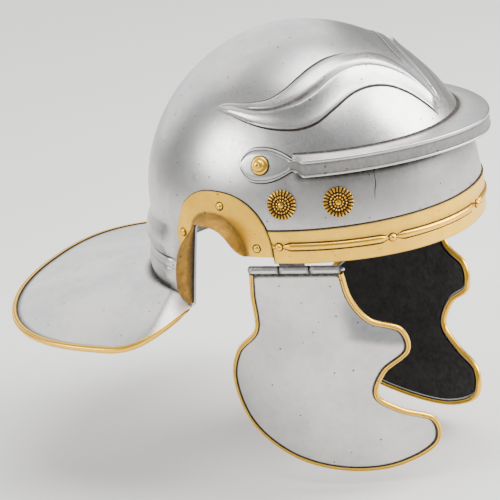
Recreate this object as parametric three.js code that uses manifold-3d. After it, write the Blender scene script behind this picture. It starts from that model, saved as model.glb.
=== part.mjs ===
// Roman legionary helmet of the imperial kind, in millimetres.
// Origin: centre of the rim, in the plane of the brow band's lower edge.
// +X is the wearer's front, +Y the wearer's left and +Z is up.
import * as THREE from 'three';
import { mergeVertices } from 'three/addons/utils/BufferGeometryUtils.js';
import Module from 'manifold-3d';

const wasm = await Module();
wasm.setup();

// Driving sizes
const GAP = 0.3;
const BOWL = {
  frontReach: 121.3, backReach: 118.5, halfWidth: 98.5, planPower: 2.114,
  wallHeight: 23.9, domeHeight: 116.1, domePower: 1.921, sheet: 1.5, rimLift: 0.5,
  columns: 44, domeRows: 8, footDepth: 0.4, floorDepth: 12,
};
const NAPE = { top: 20, bottom: -30, cornerBottom: -39, ribProud: 5, fadeFrom: 10.5, fadeTo: 5.5 };
const NECK = {
  centreInset: 6.5, reachBehind: 112, reachAhead: 60, overhang: 33, planPower: 2.75,
  middleDrop: 44, sideDrop: 58, cornerDrop: 42, cornerAngle: 143, rootInset: 2.6,
  rootShare: 0.6, fallShare: 0.75, sheet: 1.5, steps: 34, rows: 3,
};
const EDGING = { width: 4.4, lip: 0.8, cover: 2.6, slack: 0.7, seat: 0.5, endShare: 0.8 };
const BAND = {
  startGap: 0.5, sideHeight: 22.8, frontHeight: 25.9, sheet: 1, steps: 28,
  rivetInset: 4.6, rivetQuarter: 0.73372,
};
const BEAD = { height: 12, halfWidth: 2.2, proud: 1.5 };
const RIVET = { radius: 2.1, height: 1.4, shoulder: 0.72, sides: 7 };
const EAR = {
  archForward: 6.9, archTop: 30.2, archDepth: 50, foot: 4.3, heelLift: 1.7, heelWidth: 5.6,
  plateTop: 48, plateFront: 14.3, plateMiddle: 28, plateBack: 63.3, platePower: 2.25,
  sweepFrom: -2, sweepTo: 140, sheet: 1, flangeFront: 12.8, flangeBack: 15.6,
};
const PEAK = {
  height: 72.6, outerDrop: 1, frontRise: 2, frontProud: 25.1, sideProud: 15.3, planPower: 1.823,
  face: 11.6, sheet: 2, endAngle: 70, endReach: 2.6, endFace: 0.75, taper: 6, steps: 30,
};
const EYE = {
  forward: 9.5, below: 6.6, halfLength: 15, lap: 5.5, halfHeight: 11, sheet: 2,
  tailPower: 4, nosePower: 1.1, tip: 0.08, waist: 0.36, waistFrom: 0.1, waistTo: 0.8,
  rows: 8, columns: 4,
};
const PEAK_RIVET = { radius: 6, height: 4.6, shoulder: 0.72, sides: 12 };
const ROSETTE = {
  radius: 10.3, tall: 2.4, petals: 11, height: 40.7, rearForward: 0.19456,
  foreForward: 0.49794,
};
const BROW = { sunk: 0.9, edge: 1, ridge: 3.4 };
const HINGE = {
  forward: 25.5, drop: 6.5, slope: 0.17, length: 64, knuckle: 2.75, sides: 10, setBack: 0.4,
  pin: 1.2, pinSides: 8, pinBack: 1, pinFront: 2.5, leaf: 1.2, leafUp: 22, leafDown: 14,
  leafMargin: 4.5, leafGap: 0.5, sideGap: 0.4, leafInset: 1,
};
const GUARD = {
  length: 137.8, height: 157.7, topGap: 0.45, endInset: 0.8, sheet: 1.2, outset: 0.3,
  lean: 0.13, bow: 0.00357, curl: 0.00022, bowFade: 45,
  columns: 13, topRows: 2, rows: 3, samples: 36, spare: 0.08,
};
const GUARD_EDGING = { width: 3.4, lip: 0.7, cover: 2, slack: 0.5, seat: 0.8 };
const LINING = { sheet: 1, inset: 4, below: 4.7 };
// How far a cutting body runs past what it cuts
const CUT_PAST = 20;

// Nape profile, ribs and crease
const NAPE_ROWS = [
  { down: 0, proud: 0 }, { down: 0.14, proud: 0.35 }, { down: 0.3, proud: 0.95 },
  { down: 0.44, proud: 0.92 }, { down: 0.53, proud: 0.45 }, { down: 0.6, proud: 0.78 },
  { down: 0.74, proud: 1.05 }, { down: 0.9, proud: 0.95 }, { down: 1, proud: 0.75 },
];

// Bend line of the ear arch from its front foot: shares of its depth, of its height and of
// the flange's reach
const ARCH_ROWS = [
  { back: 0, up: 0, out: 0.05, droop: 0 },
  { back: 0.013, up: 0.12, out: 0.42, droop: 0 },
  { back: 0.035, up: 0.28, out: 0.74, droop: 0 },
  { back: 0.065, up: 0.46, out: 0.95, droop: 0 },
  { back: 0.12, up: 0.65, out: 1, droop: 0 },
  { back: 0.18, up: 0.79, out: 1, droop: 0.05 },
  { back: 0.25, up: 0.89, out: 0.98, droop: 0.12 },
  { back: 0.35, up: 0.97, out: 0.92, droop: 0.22 },
  { back: 0.45, up: 1, out: 0.82, droop: 0.32 },
  { back: 0.55, up: 0.99, out: 0.66, droop: 0.32 },
  { back: 0.66, up: 0.92, out: 0.45, droop: 0.22 },
  { back: 0.74, up: 0.78, out: 0.28, droop: 0.1 },
  { back: 0.79, up: 0.58, out: 0.24, droop: 0 },
];
// Back leg of the ear guard: share of the way down, share of the flange's reach
const LEG_ROWS = [
  { down: 0.06, out: 0.5 }, { down: 0.14, out: 0.78 }, { down: 0.26, out: 0.95 },
  { down: 0.4, out: 1 }, { down: 0.55, out: 0.98 }, { down: 0.7, out: 0.88 },
  { down: 0.83, out: 0.68 }, { down: 0.93, out: 0.42 }, { down: 1, out: 0.12 },
];
// Rivets of the ear guard: share of the stations of its bend line, share of the way to the
// plate's edge
const EAR_RIVETS = {
  front: { around: 0.05, share: 0.5 }, top: { around: 0.33, share: 0.5 }, back: { around: 0.62, share: 0.6 },
};

// Embossed eyebrow from its tail to the middle of the front: angle from the front in degrees
// and share of the way from the peak up to the crown, for its three lines
const BROW_ROWS = [
  { topTurn: 114, top: 0.41, ridgeTurn: 114, ridge: 0.393, lowTurn: 113, low: 0.377 },
  { topTurn: 108, top: 0.437, ridgeTurn: 106, ridge: 0.402, lowTurn: 104.5, low: 0.346 },
  { topTurn: 100.5, top: 0.445, ridgeTurn: 98, ridge: 0.391, lowTurn: 97, low: 0.302 },
  { topTurn: 92.2, top: 0.454, ridgeTurn: 90, ridge: 0.369, lowTurn: 91, low: 0.269 },
  { topTurn: 83, top: 0.479, ridgeTurn: 80, ridge: 0.366, lowTurn: 82.5, low: 0.231 },
  { topTurn: 75, top: 0.543, ridgeTurn: 72.5, ridge: 0.383, lowTurn: 73, low: 0.211 },
  { topTurn: 66, top: 0.637, ridgeTurn: 65, ridge: 0.418, lowTurn: 66, low: 0.213 },
  { topTurn: 56.5, top: 0.713, ridgeTurn: 56, ridge: 0.495, lowTurn: 58.5, low: 0.252 },
  { topTurn: 44, top: 0.767, ridgeTurn: 46, ridge: 0.589, lowTurn: 49, low: 0.36 },
  { topTurn: 30, top: 0.778, ridgeTurn: 34, ridge: 0.647, lowTurn: 38.5, low: 0.46 },
  { topTurn: 15, top: 0.747, ridgeTurn: 22, ridge: 0.643, lowTurn: 27.5, low: 0.485 },
  { topTurn: 6, top: 0.678, ridgeTurn: 13.5, ridge: 0.574, lowTurn: 19, low: 0.439 },
  { topTurn: 2, top: 0.564, ridgeTurn: 8, ridge: 0.47, lowTurn: 13, low: 0.339 },
  { topTurn: 1, top: 0.377, ridgeTurn: 4.5, ridge: 0.335, lowTurn: 9, low: 0.215 },
  { topTurn: 0.5, top: 0.169, ridgeTurn: 1.8, ridge: 0.169, lowTurn: 5.5, low: 0.076 },
];

// Cheek guard outline from the rear end of its hinge: along and down, as shares of its length
// and height, and beside the hinge as shares of the hinge's length and the guard's height
const GUARD_REAR = { along: -0.53, down: 0.102 };
const GUARD_FRONT = { along: 0.521, down: 0.129 };
const GUARD_ROWS = [
  { along: -0.276, down: 0.285 }, { along: -0.413, down: 0.408 }, { along: -0.482, down: 0.565 },
  { along: -0.433, down: 0.778 }, { along: -0.24, down: 0.927 }, { along: 0.055, down: 1 },
  { along: 0.324, down: 0.985 }, { along: 0.5, down: 0.893 }, { along: 0.502, down: 0.775 },
  { along: 0.37, down: 0.706 }, { along: 0.275, down: 0.623 }, { along: 0.326, down: 0.505 },
  { along: 0.445, down: 0.412 }, { along: 0.431, down: 0.306 }, { along: 0.307, down: 0.241 },
];

// Rosette rings from its seat to its middle: share of the radius, of the radius between two
// petals, of the height, and of the height that a valley between petals loses
const ROSETTE_RINGS = [
  { out: 1, between: 0.95, tall: 0, valley: 0 }, { out: 1, between: 0.95, tall: 0.3, valley: 0 },
  { out: 0.9, between: 0.95, tall: 0.75, valley: 0.4 }, { out: 0.6, between: 1, tall: 0.6, valley: 0.3 },
  { out: 0.46, between: 1, tall: 0.9, valley: 0 }, { out: 0.2, between: 1, tall: 1, valley: 0 },
];

const material = (color, roughness, metalness) =>
  new THREE.MeshStandardMaterial({ color, roughness, metalness });
const STEEL = material('#b9bbbd', 0.34, 1);
const BRASS = material('#dcb867', 0.36, 1);
const DARK_BRASS = material('#c9a25a', 0.45, 1);
const LINING_BLACK = material('#16150f', 0.75, 0);

const radians = THREE.MathUtils.degToRad;
const degrees = THREE.MathUtils.radToDeg;
const mix = THREE.MathUtils.lerp;
const clamp = THREE.MathUtils.clamp;
const smooth = THREE.MathUtils.smoothstep;
const point = (x, y, z) => new THREE.Vector3(x, y, z);
const crown = BOWL.wallHeight + BOWL.domeHeight;
const bandStart = EAR.plateFront + BAND.startGap;
const heel = NAPE.cornerBottom + EAR.heelLift;
const neckCentre = BOWL.backReach - NECK.centreInset;
const neckHalfWidth = BOWL.halfWidth + NECK.overhang;
const peakShare = domeShare(PEAK.height);
const eyeHeight = PEAK.height - EYE.below;

// Solids from grids of points

// Closed mesh over rows of points; each row is a closed ring, and the ends are flat fans
function ringSolid(rows) {
  const count = rows[0].length;
  const spots = rows.flat();
  const faces = [];
  for (let i = 0; i < rows.length - 1; i += 1) {
    for (let j = 0; j < count; j += 1) {
      const next = (j + 1) % count;
      const [a, b] = [i * count + j, i * count + next];
      const [c, d] = [a + count, b + count];
      faces.push(a, b, d, a, d, c);
    }
  }
  for (const [row, flip] of [[0, true], [rows.length - 1, false]]) {
    const contour = THREE.ShapeUtils.triangulateShape(flatten(rows[row]), []);
    for (const [a, b, c] of contour) {
      const base = row * count;
      faces.push(...(flip ? [base + c, base + b, base + a] : [base + a, base + b, base + c]));
    }
  }
  return facing(spots, faces);
}

// Flat picture of a ring, seen along its own normal, for the triangulation of its cap
function flatten(ring) {
  const normal = point(0, 0, 0);
  ring.forEach((p, i) => normal.add(p.clone().cross(ring[(i + 1) % ring.length])));
  normal.normalize();
  const across = ring[1].clone().sub(ring[0]).normalize();
  const up = normal.clone().cross(across);
  return ring.map((p) => new THREE.Vector2(p.dot(across), p.dot(up)));
}

// Sheet with thickness: outer(i, j) and inner(i, j) over a grid, closed along its border
function sheetSolid(outer, inner) {
  const [rows, columns] = [outer.length, outer[0].length];
  const spots = [...outer.flat(), ...inner.flat()];
  const half = rows * columns;
  const at = (i, j) => i * columns + j;
  const faces = [];
  const quad = (a, b, c, d) => faces.push(a, b, c, a, c, d);
  for (let i = 0; i < rows - 1; i += 1) {
    for (let j = 0; j < columns - 1; j += 1) {
      quad(at(i, j), at(i, j + 1), at(i + 1, j + 1), at(i + 1, j));
      quad(half + at(i, j), half + at(i + 1, j), half + at(i + 1, j + 1), half + at(i, j + 1));
    }
  }
  for (let i = 0; i < rows - 1; i += 1) {
    const last = columns - 1;
    quad(at(i, 0), at(i + 1, 0), half + at(i + 1, 0), half + at(i, 0));
    quad(at(i, last), half + at(i, last), half + at(i + 1, last), at(i + 1, last));
  }
  for (let j = 0; j < columns - 1; j += 1) {
    const last = rows - 1;
    quad(at(0, j), half + at(0, j), half + at(0, j + 1), at(0, j + 1));
    quad(at(last, j), at(last, j + 1), half + at(last, j + 1), half + at(last, j));
  }
  return facing(spots, faces);
}

// Solid with its faces turned outwards, whichever way the grid ran
function facing(spots, faces) {
  let volume = 0;
  for (let i = 0; i < faces.length; i += 3) {
    const [a, b, c] = [spots[faces[i]], spots[faces[i + 1]], spots[faces[i + 2]]];
    volume += a.dot(b.clone().cross(c));
  }
  const turned = volume < 0 ? faces.slice().reverse() : faces;
  const geometry = new THREE.BufferGeometry();
  geometry.setAttribute('position', new THREE.Float32BufferAttribute(
    spots.flatMap((p) => [p.x, p.y, p.z]), 3));
  geometry.setIndex(turned);
  return toSolid(geometry);
}

function toSolid(geometry) {
  const bare = geometry.clone();
  bare.deleteAttribute('normal');
  bare.deleteAttribute('uv');
  const merged = mergeVertices(bare, 1e-5);
  return new wasm.Manifold(new wasm.Mesh({
    numProp: 3,
    vertProperties: new Float32Array(merged.attributes.position.array),
    triVerts: new Uint32Array(merged.index.array),
  }));
}

function toGeometry(solid) {
  const mesh = solid.getMesh();
  const geometry = new THREE.BufferGeometry();
  geometry.setAttribute('position', new THREE.Float32BufferAttribute(mesh.vertProperties, 3));
  geometry.setIndex(Array.from(mesh.triVerts));
  geometry.computeVertexNormals();
  return geometry;
}

// Turned piece about its own Z, from a closed profile of radius and height
function turned(profile, segments, place, normal) {
  const geometry = new THREE.LatheGeometry(profile.map(([r, h]) => new THREE.Vector2(r, h)), segments);
  geometry.rotateX(Math.PI / 2);
  return toSolid(placed(geometry, place, normal));
}

function placed(geometry, place, normal) {
  const turn = new THREE.Quaternion().setFromUnitVectors(point(0, 0, 1), normal);
  return geometry.applyQuaternion(turn).translate(place.x, place.y, place.z);
}

// Prism of an outline in the X-Z plane, from one Y to another
function sidePrism(outline, low, high) {
  const shape = new THREE.Shape(outline.map(([x, z]) => new THREE.Vector2(x, z)));
  const geometry = new THREE.ExtrudeGeometry(shape, { depth: high - low, bevelEnabled: false });
  geometry.rotateX(Math.PI / 2);
  geometry.translate(0, high, 0);
  return toSolid(geometry);
}

// The same solid on the wearer's other side
const mirrored = (solid) => solid.mirror([0, 1, 0]);

// Surface of the bowl

// Radius of the bowl's plan at an angle from the front
function planRadius(angle, offset = 0) {
  const [along, across] = [Math.cos(angle), Math.sin(angle)];
  const reach = (along > 0 ? BOWL.frontReach : BOWL.backReach) + offset;
  const share = (Math.abs(along) / reach) ** BOWL.planPower
    + (Math.abs(across) / (BOWL.halfWidth + offset)) ** BOWL.planPower;
  return share ** (-1 / BOWL.planPower);
}

// Share of the plan that the dome keeps at a height
function domeShare(height, offset = 0) {
  const up = clamp((height - BOWL.wallHeight) / (BOWL.domeHeight + offset), 0, 1);
  return (1 - up ** BOWL.domePower) ** (1 / BOWL.domePower);
}

// Angle from the back at which the neck guard's root ends, beside the ear guard's heel
const rootTurn = Math.PI + wallAngle(NECK.rootInset - EAR.plateBack);

// How far the nape's ribs stand out, by the angle from the back and the height
function napeOut(fromBack, height) {
  const down = (NAPE.top - height) / (NAPE.top - creaseHeight(fromBack));
  if (down <= 0) return 0;
  const after = NAPE_ROWS.find((row) => row.down >= down) ?? NAPE_ROWS.at(-1);
  const before = NAPE_ROWS[Math.max(0, NAPE_ROWS.indexOf(after) - 1)];
  const part = clamp((down - before.down) / (after.down - before.down), 0, 1);
  const [from, to] = [NAPE.fadeFrom, NAPE.fadeTo].map((angle) => degrees(rootTurn) - angle);
  const fade = 1 - smooth(degrees(Math.abs(fromBack)), from, to);
  return NAPE.ribProud * mix(before.proud, after.proud, part) * fade;
}

// Height of the crease between the nape and the neck guard
function creaseHeight(fromBack) {
  const end = degrees(rootTurn);
  const part = smooth(degrees(Math.abs(fromBack)), end - NAPE.fadeFrom, end);
  return mix(NAPE.bottom, NAPE.cornerBottom, part);
}

const angleFromBack = (angle) => Math.PI - Math.abs(angle);

// Point on the bowl at an angle from the front, a height and an offset along the surface
function bowlPoint(angle, height, offset = 0) {
  const radius = planRadius(angle, offset) * domeShare(height, offset)
    + napeOut(angleFromBack(angle), height);
  return point(radius * Math.cos(angle), radius * Math.sin(angle), height);
}

// Outward normal of the bowl at a point of its surface
function bowlNormal(angle, height) {
  const step = 0.002;
  const along = bowlPoint(angle + step, height).sub(bowlPoint(angle - step, height));
  const up = bowlPoint(angle, height + 0.2).sub(bowlPoint(angle, height - 0.2));
  return along.cross(up).normalize();
}

// Angle from the front at which the right wall, at a height, reaches forward to x
function wallAngle(x, height = 0) {
  const share = domeShare(height);
  const reach = (x > 0 ? BOWL.frontReach : BOWL.backReach) * share;
  const across = (1 - (Math.abs(x) / reach) ** BOWL.planPower) ** (1 / BOWL.planPower);
  return -Math.atan2(BOWL.halfWidth * share * across, x);
}

// Bowl: skull, nape, neck guard and embossed eyebrows in one raised sheet

// Angles of the skull's columns, the nearest ones moved to where the ribs start and end to fade
function skullAngles() {
  const angles = Array.from({ length: BOWL.columns }, (_, j) => {
    const turn = (j / BOWL.columns) * 2 * Math.PI;
    return turn > Math.PI ? turn - 2 * Math.PI : turn;
  });
  for (const fade of [NAPE.fadeFrom, NAPE.fadeTo]) {
    for (const side of [-1, 1]) {
      const place = side * (Math.PI - rootTurn + radians(fade));
      const away = angles.map((angle) => Math.abs(angle - place));
      angles[away.indexOf(Math.min(...away))] = place;
    }
  }
  return angles;
}

// Ring of the skull, with a height that may change round the bowl
function skullRing(heightAt, offset) {
  return skullAngles().map(
    (angle) => bowlPoint(angle, heightAt(creaseHeight(angleFromBack(angle))), offset));
}

function skullSolid(offset, extra) {
  const foot = skullRing((crease) => crease, offset).map((p) => p.setZ(p.z - extra));
  const nape = NAPE_ROWS.map(({ down }) => skullRing((crease) => mix(NAPE.top, crease, down), offset));
  const dome = Array.from({ length: BOWL.domeRows }, (_, k) => {
    const rise = Math.sin((k / BOWL.domeRows) * (Math.PI / 2)) ** (2 / BOWL.domePower);
    return skullRing(() => BOWL.wallHeight + (BOWL.domeHeight + offset) * rise, offset);
  });
  return domeSolid([foot, ...nape.reverse(), ...dome], point(0, 0, crown + offset));
}

// Stacked rings closed by a flat floor and by one point at the top
function domeSolid(rows, top) {
  const count = rows[0].length;
  const floor = rows[0].reduce((sum, p) => sum.add(p), point(0, 0, 0)).divideScalar(count);
  const spots = [...rows.flat(), top, floor];
  const faces = [];
  for (let i = 0; i < rows.length; i += 1) {
    for (let j = 0; j < count; j += 1) {
      const next = (j + 1) % count;
      const [a, b] = [i * count + j, i * count + next];
      if (i < rows.length - 1) faces.push(a, b, b + count, a, b + count, a + count);
      else faces.push(a, b, rows.length * count);
      if (i === 0) faces.push(b, a, rows.length * count + 1);
    }
  }
  return facing(spots, faces);
}

// Edge of the neck guard at an angle from the back, positive on the wearer's right
function neckEdge(turn) {
  const [along, across] = [Math.cos(turn), Math.sin(turn)];
  const power = 2 / NECK.planPower;
  const reach = along > 0 ? NECK.reachBehind : NECK.reachAhead;
  const x = -neckCentre - Math.sign(along) * reach * Math.abs(along) ** power;
  const y = -neckHalfWidth * Math.sign(across) * Math.abs(across) ** power;
  const turnDegrees = degrees(Math.abs(turn));
  const side = (y / neckHalfWidth) ** 2;
  const rise = Math.max(0, (turnDegrees - 90) / (NECK.cornerAngle - 90)) ** 2;
  const drop = mix(mix(NECK.middleDrop, NECK.sideDrop, side), NECK.cornerDrop, rise);
  return point(x, y, -drop);
}

function neckRoot(turn, offset) {
  const fromBack = (turn / radians(NECK.cornerAngle)) * rootTurn;
  const angle = (fromBack >= 0 ? -1 : 1) * (Math.PI - Math.abs(fromBack));
  return bowlPoint(angle, creaseHeight(fromBack), offset);
}

// Point of the neck guard's upper face: turn across it, share of the way out to its edge
function neckPoint(turn, out) {
  const root = neckRoot(turn, -BOWL.sheet * NECK.rootShare);
  const edge = neckEdge(turn);
  const fall = mix(root.z, edge.z, NECK.fallShare * out + (1 - NECK.fallShare) * out * out);
  return point(mix(root.x, edge.x, out), mix(root.y, edge.y, out), fall);
}

function neckNormal(turn, out) {
  const step = 0.01;
  const across = neckPoint(turn + step, out).sub(neckPoint(turn - step, out));
  const along = neckPoint(turn, out + step).sub(neckPoint(turn, out - step));
  const normal = along.cross(across).normalize();
  return normal.z < 0 ? normal.negate() : normal;
}

const neckTurns = (count) => Array.from({ length: count + 1 },
  (_, i) => mix(-1, 1, i / count) * radians(NECK.cornerAngle));

function neckGuardSolid() {
  const shares = Array.from({ length: NECK.rows + 1 }, (_, k) => k / NECK.rows);
  const grid = (depth) => neckTurns(NECK.steps).map((turn) => shares.map(
    (out) => neckPoint(turn, out).addScaledVector(neckNormal(turn, out), -depth)));
  return sheetSolid(grid(0), grid(NECK.sheet));
}

// One embossed eyebrow on the wearer's right
function browSolid() {
  const spot = (turn, share, proud) => {
    const height = mix(PEAK.height, crown, share);
    const angle = -radians(turn);
    return bowlPoint(angle, height).addScaledVector(bowlNormal(angle, height), proud);
  };
  return ringSolid(BROW_ROWS.map((row) => [
    spot(row.topTurn, row.top, -BROW.sunk), spot(row.ridgeTurn, row.ridge, -BROW.sunk),
    spot(row.lowTurn, row.low, -BROW.sunk), spot(row.lowTurn, row.low, BROW.edge),
    spot(row.ridgeTurn, row.ridge, BROW.ridge), spot(row.topTurn, row.top, BROW.edge),
  ]));
}

// Bend line of the ear guard on the wearer's right, from its front foot round to its heel:
// forward and height, reach and droop of the flange, outer edge of the plate
function earStations() {
  const arch = ARCH_ROWS.map(({ back, up, out, droop }, i) => ({
    x: -EAR.archForward - back * EAR.archDepth,
    z: mix(EAR.foot, EAR.archTop, up),
    out: out * EAR.flangeFront,
    droop: droop * EAR.flangeFront,
    ...earOuterEdge(i / (ARCH_ROWS.length - 1)),
  }));
  const last = arch.at(-1);
  const leg = LEG_ROWS.map(({ down, out }) => {
    const z = mix(last.z, heel, down);
    const x = mix(last.x, EAR.heelWidth - EAR.plateBack, down);
    return { x, z, out: out * EAR.flangeBack, droop: 0, plateX: -EAR.plateBack, plateZ: z };
  });
  return [...arch, ...leg];
}

// Outer edge of the ear plate, by the share of the way round the arch
function earOuterEdge(share) {
  const sweep = radians(mix(EAR.sweepFrom, EAR.sweepTo, share));
  const [along, up] = [Math.cos(sweep), Math.max(0, Math.sin(sweep))];
  const reach = along > 0 ? EAR.plateFront + EAR.plateMiddle : EAR.plateBack - EAR.plateMiddle;
  const power = 2 / EAR.platePower;
  return {
    plateX: -EAR.plateMiddle + reach * Math.sign(along) * Math.abs(along) ** power,
    plateZ: mix(EAR.foot, EAR.plateTop, up ** power),
  };
}

function wallPoint(x, z, offset) {
  const angle = wallAngle(x, z);
  return bowlPoint(angle, z).addScaledVector(bowlNormal(angle, z), offset);
}

function earGuardSolid() {
  const stations = earStations();
  const [inside, outside] = [GAP, GAP + EAR.sheet];
  const rows = stations.map((s) => {
    const bend = wallPoint(s.x, s.z, inside);
    const bendOut = wallPoint(s.x, s.z, outside);
    const edgeIn = wallPoint(s.plateX, s.plateZ, inside);
    const towards = edgeIn.clone().sub(bend).normalize();
    const outward = bowlNormal(wallAngle(s.x, s.z), s.z);
    const tip = bend.clone().addScaledVector(outward, s.out + EAR.sheet);
    tip.z -= s.droop;
    const midX = mix(s.x, s.plateX, 0.5);
    const midZ = mix(s.z, s.plateZ, 0.5);
    return [
      bend, wallPoint(midX, midZ, inside), edgeIn, wallPoint(s.plateX, s.plateZ, outside),
      wallPoint(midX, midZ, outside), bendOut.clone().addScaledVector(towards, EAR.sheet),
      tip.clone().addScaledVector(towards, EAR.sheet), tip,
    ];
  });
  return ringSolid(rows);
}

// Everything of the skull in front of the neck guard ends at the rim and at the ear arches
function rimCutter() {
  const stations = earStations();
  const deep = NECK.sideDrop + CUT_PAST;
  const front = BOWL.frontReach + CUT_PAST;
  const bend = stations.map((s) => [s.x, s.z]);
  const outline = [
    [front, -deep], [front, BOWL.rimLift], [bandStart, BOWL.rimLift],
    [bandStart, EAR.foot], ...bend, [bend.at(-1)[0], -deep],
  ];
  return sidePrism(outline, -BOWL.halfWidth - CUT_PAST, BOWL.halfWidth + CUT_PAST);
}

function makeBowl() {
  const outer = skullSolid(0, BOWL.footDepth);
  const inner = skullSolid(-BOWL.sheet, BOWL.floorDepth);
  const skull = outer.subtract(inner).subtract(rimCutter());
  const brow = browSolid();
  return skull.add(neckGuardSolid()).add(brow).add(mirrored(brow));
}

// Channel of folded sheet that grips an edge: section across the path, closed at its ends
function channel(path, { width, lip, cover, slack, seat }, sheet) {
  const half = sheet / 2 + slack;
  const outer = half + lip;
  const rows = path.map(({ edge, outward, normal }) => {
    const at = (out, up) => edge.clone().addScaledVector(outward, out).addScaledVector(normal, up);
    const beyond = width - cover;
    const turnIn = beyond / 2;
    return [
      at(-cover, half), at(seat, half), at(seat, -half), at(-cover, -half), at(-cover, -outer),
      at(turnIn, -outer), at(beyond, 0), at(turnIn, outer), at(-cover, outer),
    ];
  });
  return ringSolid(rows);
}

function makeNeckEdging() {
  const path = neckTurns(NECK.steps).map((turn) => {
    const normal = neckNormal(turn, 1);
    const edge = neckPoint(turn, 1).addScaledVector(normal, -NECK.sheet / 2);
    const outward = neckPoint(turn, 1).sub(neckPoint(turn, 1 - 1 / NECK.rows)).normalize();
    return { edge, outward, normal };
  });
  [[path.at(0), path.at(1)], [path.at(-1), path.at(-2)]].forEach(([end, next]) => {
    Object.keys(end).forEach((key) => end[key].lerp(next[key], EDGING.endShare));
  });
  return channel(path, EDGING, NECK.sheet);
}

// Brow band round the front, with a raised bead along its middle
function makeBrowBand() {
  const start = wallAngle(bandStart);
  const rows = Array.from({ length: BAND.steps + 1 }, (_, i) => {
    const angle = mix(start, -start, i / BAND.steps);
    const height = mix(BAND.sideHeight, BAND.frontHeight, Math.cos(angle) ** 2);
    const at = (offset, z) => bowlPoint(angle, z).addScaledVector(bowlNormal(angle, z), offset);
    const [inside, outside] = [GAP, GAP + BAND.sheet];
    const bead = outside + BEAD.proud;
    return [
      at(inside, 0), at(outside, 0), at(outside, BEAD.height - BEAD.halfWidth),
      at(bead, BEAD.height - BEAD.halfWidth / 2), at(bead, BEAD.height + BEAD.halfWidth / 2),
      at(outside, BEAD.height + BEAD.halfWidth), at(outside, height), at(inside, height),
    ];
  });
  return ringSolid(rows);
}

// Domed rivet head on the bowl's wall, seated at a distance off it
function rivetSolid(angle, height, seat, { radius, height: tall, shoulder, sides } = RIVET) {
  const normal = bowlNormal(angle, height);
  const place = bowlPoint(angle, height).addScaledVector(normal, seat);
  return turned([[0, 0], [radius, 0], [radius * shoulder, tall * shoulder], [0, tall]], sides, place, normal);
}

// Peak: a folded bar across the front, an eye-shaped plate at each end

// Section of the bar at an angle, from its slim end to its full depth
function peakSection(angle, share) {
  const reach = BOWL.frontReach * peakShare + PEAK.frontProud;
  const halfWidth = BOWL.halfWidth * peakShare + PEAK.sideProud;
  const plan = (Math.abs(Math.cos(angle)) / reach) ** PEAK.planPower
    + (Math.abs(Math.sin(angle)) / halfWidth) ** PEAK.planPower;
  const rise = PEAK.frontRise * Math.cos(angle) ** 2;
  const root = PEAK.height + rise / 2;
  const top = PEAK.height - PEAK.outerDrop + rise;
  const low = top - PEAK.face * mix(PEAK.endFace, 1, share);
  const clearAt = (height) => planRadius(angle) * domeShare(height) + GAP;
  const inner = clearAt(root - PEAK.sheet);
  const outer = Math.max(
    mix(inner + PEAK.endReach, plan ** (-1 / PEAK.planPower), share), clearAt(low) + PEAK.sheet);
  const at = (radius, z) => point(radius * Math.cos(angle), radius * Math.sin(angle), z);
  return [
    at(inner, root), at(inner, root - PEAK.sheet), at(outer - PEAK.sheet, top - PEAK.sheet),
    at(outer - PEAK.sheet, low), at(outer, low), at(outer, top),
  ];
}

// Forward place of the bar's end, where it runs into its plate
const peakEnd = Math.cos(radians(PEAK.endAngle)) * planRadius(radians(PEAK.endAngle)) * peakShare;

function eyePlate() {
  const grid = (offset) => Array.from({ length: EYE.rows + 1 }, (_, i) => {
    const along = mix(-1, 1, i / EYE.rows);
    const reach = along < 0 ? EYE.halfLength : peakEnd + EYE.lap - EYE.forward;
    const lens = along < 0
      ? Math.sqrt(1 - Math.abs(along) ** EYE.tailPower) : (1 - along ** 2) ** EYE.nosePower;
    const waist = EYE.waist * smooth(along, EYE.waistFrom, EYE.waistTo);
    const half = EYE.halfHeight * Math.max(EYE.tip, lens, waist);
    return Array.from({ length: EYE.columns + 1 }, (_, j) => wallPoint(
      EYE.forward + along * reach, eyeHeight + mix(-1, 1, j / EYE.columns) * half, offset));
  });
  return sheetSolid(grid(GAP + EYE.sheet), grid(GAP));
}

function makePeak() {
  const start = radians(PEAK.endAngle);
  const rows = Array.from({ length: PEAK.steps + 1 }, (_, i) => {
    const angle = mix(-start, start, i / PEAK.steps);
    return peakSection(angle, smooth(degrees(start - Math.abs(angle)), 0, PEAK.taper));
  });
  const eye = eyePlate();
  return ringSolid(rows).add(eye).add(mirrored(eye));
}

// Rosette: boss, inner ring and a ring of petals on a round seat
function rosetteSolid(x) {
  const angle = wallAngle(x, ROSETTE.height);
  const normal = bowlNormal(angle, ROSETTE.height);
  const place = bowlPoint(angle, ROSETTE.height).addScaledVector(normal, GAP);
  const turnTo = new THREE.Quaternion().setFromUnitVectors(point(0, 0, 1), normal);
  const count = ROSETTE.petals * 2;
  const ring = (row) => Array.from({ length: count }, (_, j) => {
    const turn = (j / count) * 2 * Math.PI;
    const inValley = j % 2 === 1;
    const radius = ROSETTE.radius * row.out * (inValley ? row.between : 1);
    const up = ROSETTE.tall * row.tall * (inValley ? 1 - row.valley : 1);
    const spot = point(radius * Math.cos(turn), radius * Math.sin(turn), up);
    return spot.applyQuaternion(turnTo).add(place);
  });
  return ringSolid(ROSETTE_RINGS.map(ring));
}

// Cheek guard on the wearer's right, hung from its hinge

// Middle of the hinge's pin, tucked behind the bowl's wall
const hingeWall = wallPoint(HINGE.forward, 0, 0);
const hingeInset = BOWL.sheet + GAP + HINGE.knuckle + HINGE.setBack;
const hinge = point(HINGE.forward, hingeWall.y + hingeInset, -HINGE.drop);
const guardTop = hinge.z - HINGE.knuckle - GUARD.topGap;

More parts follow.
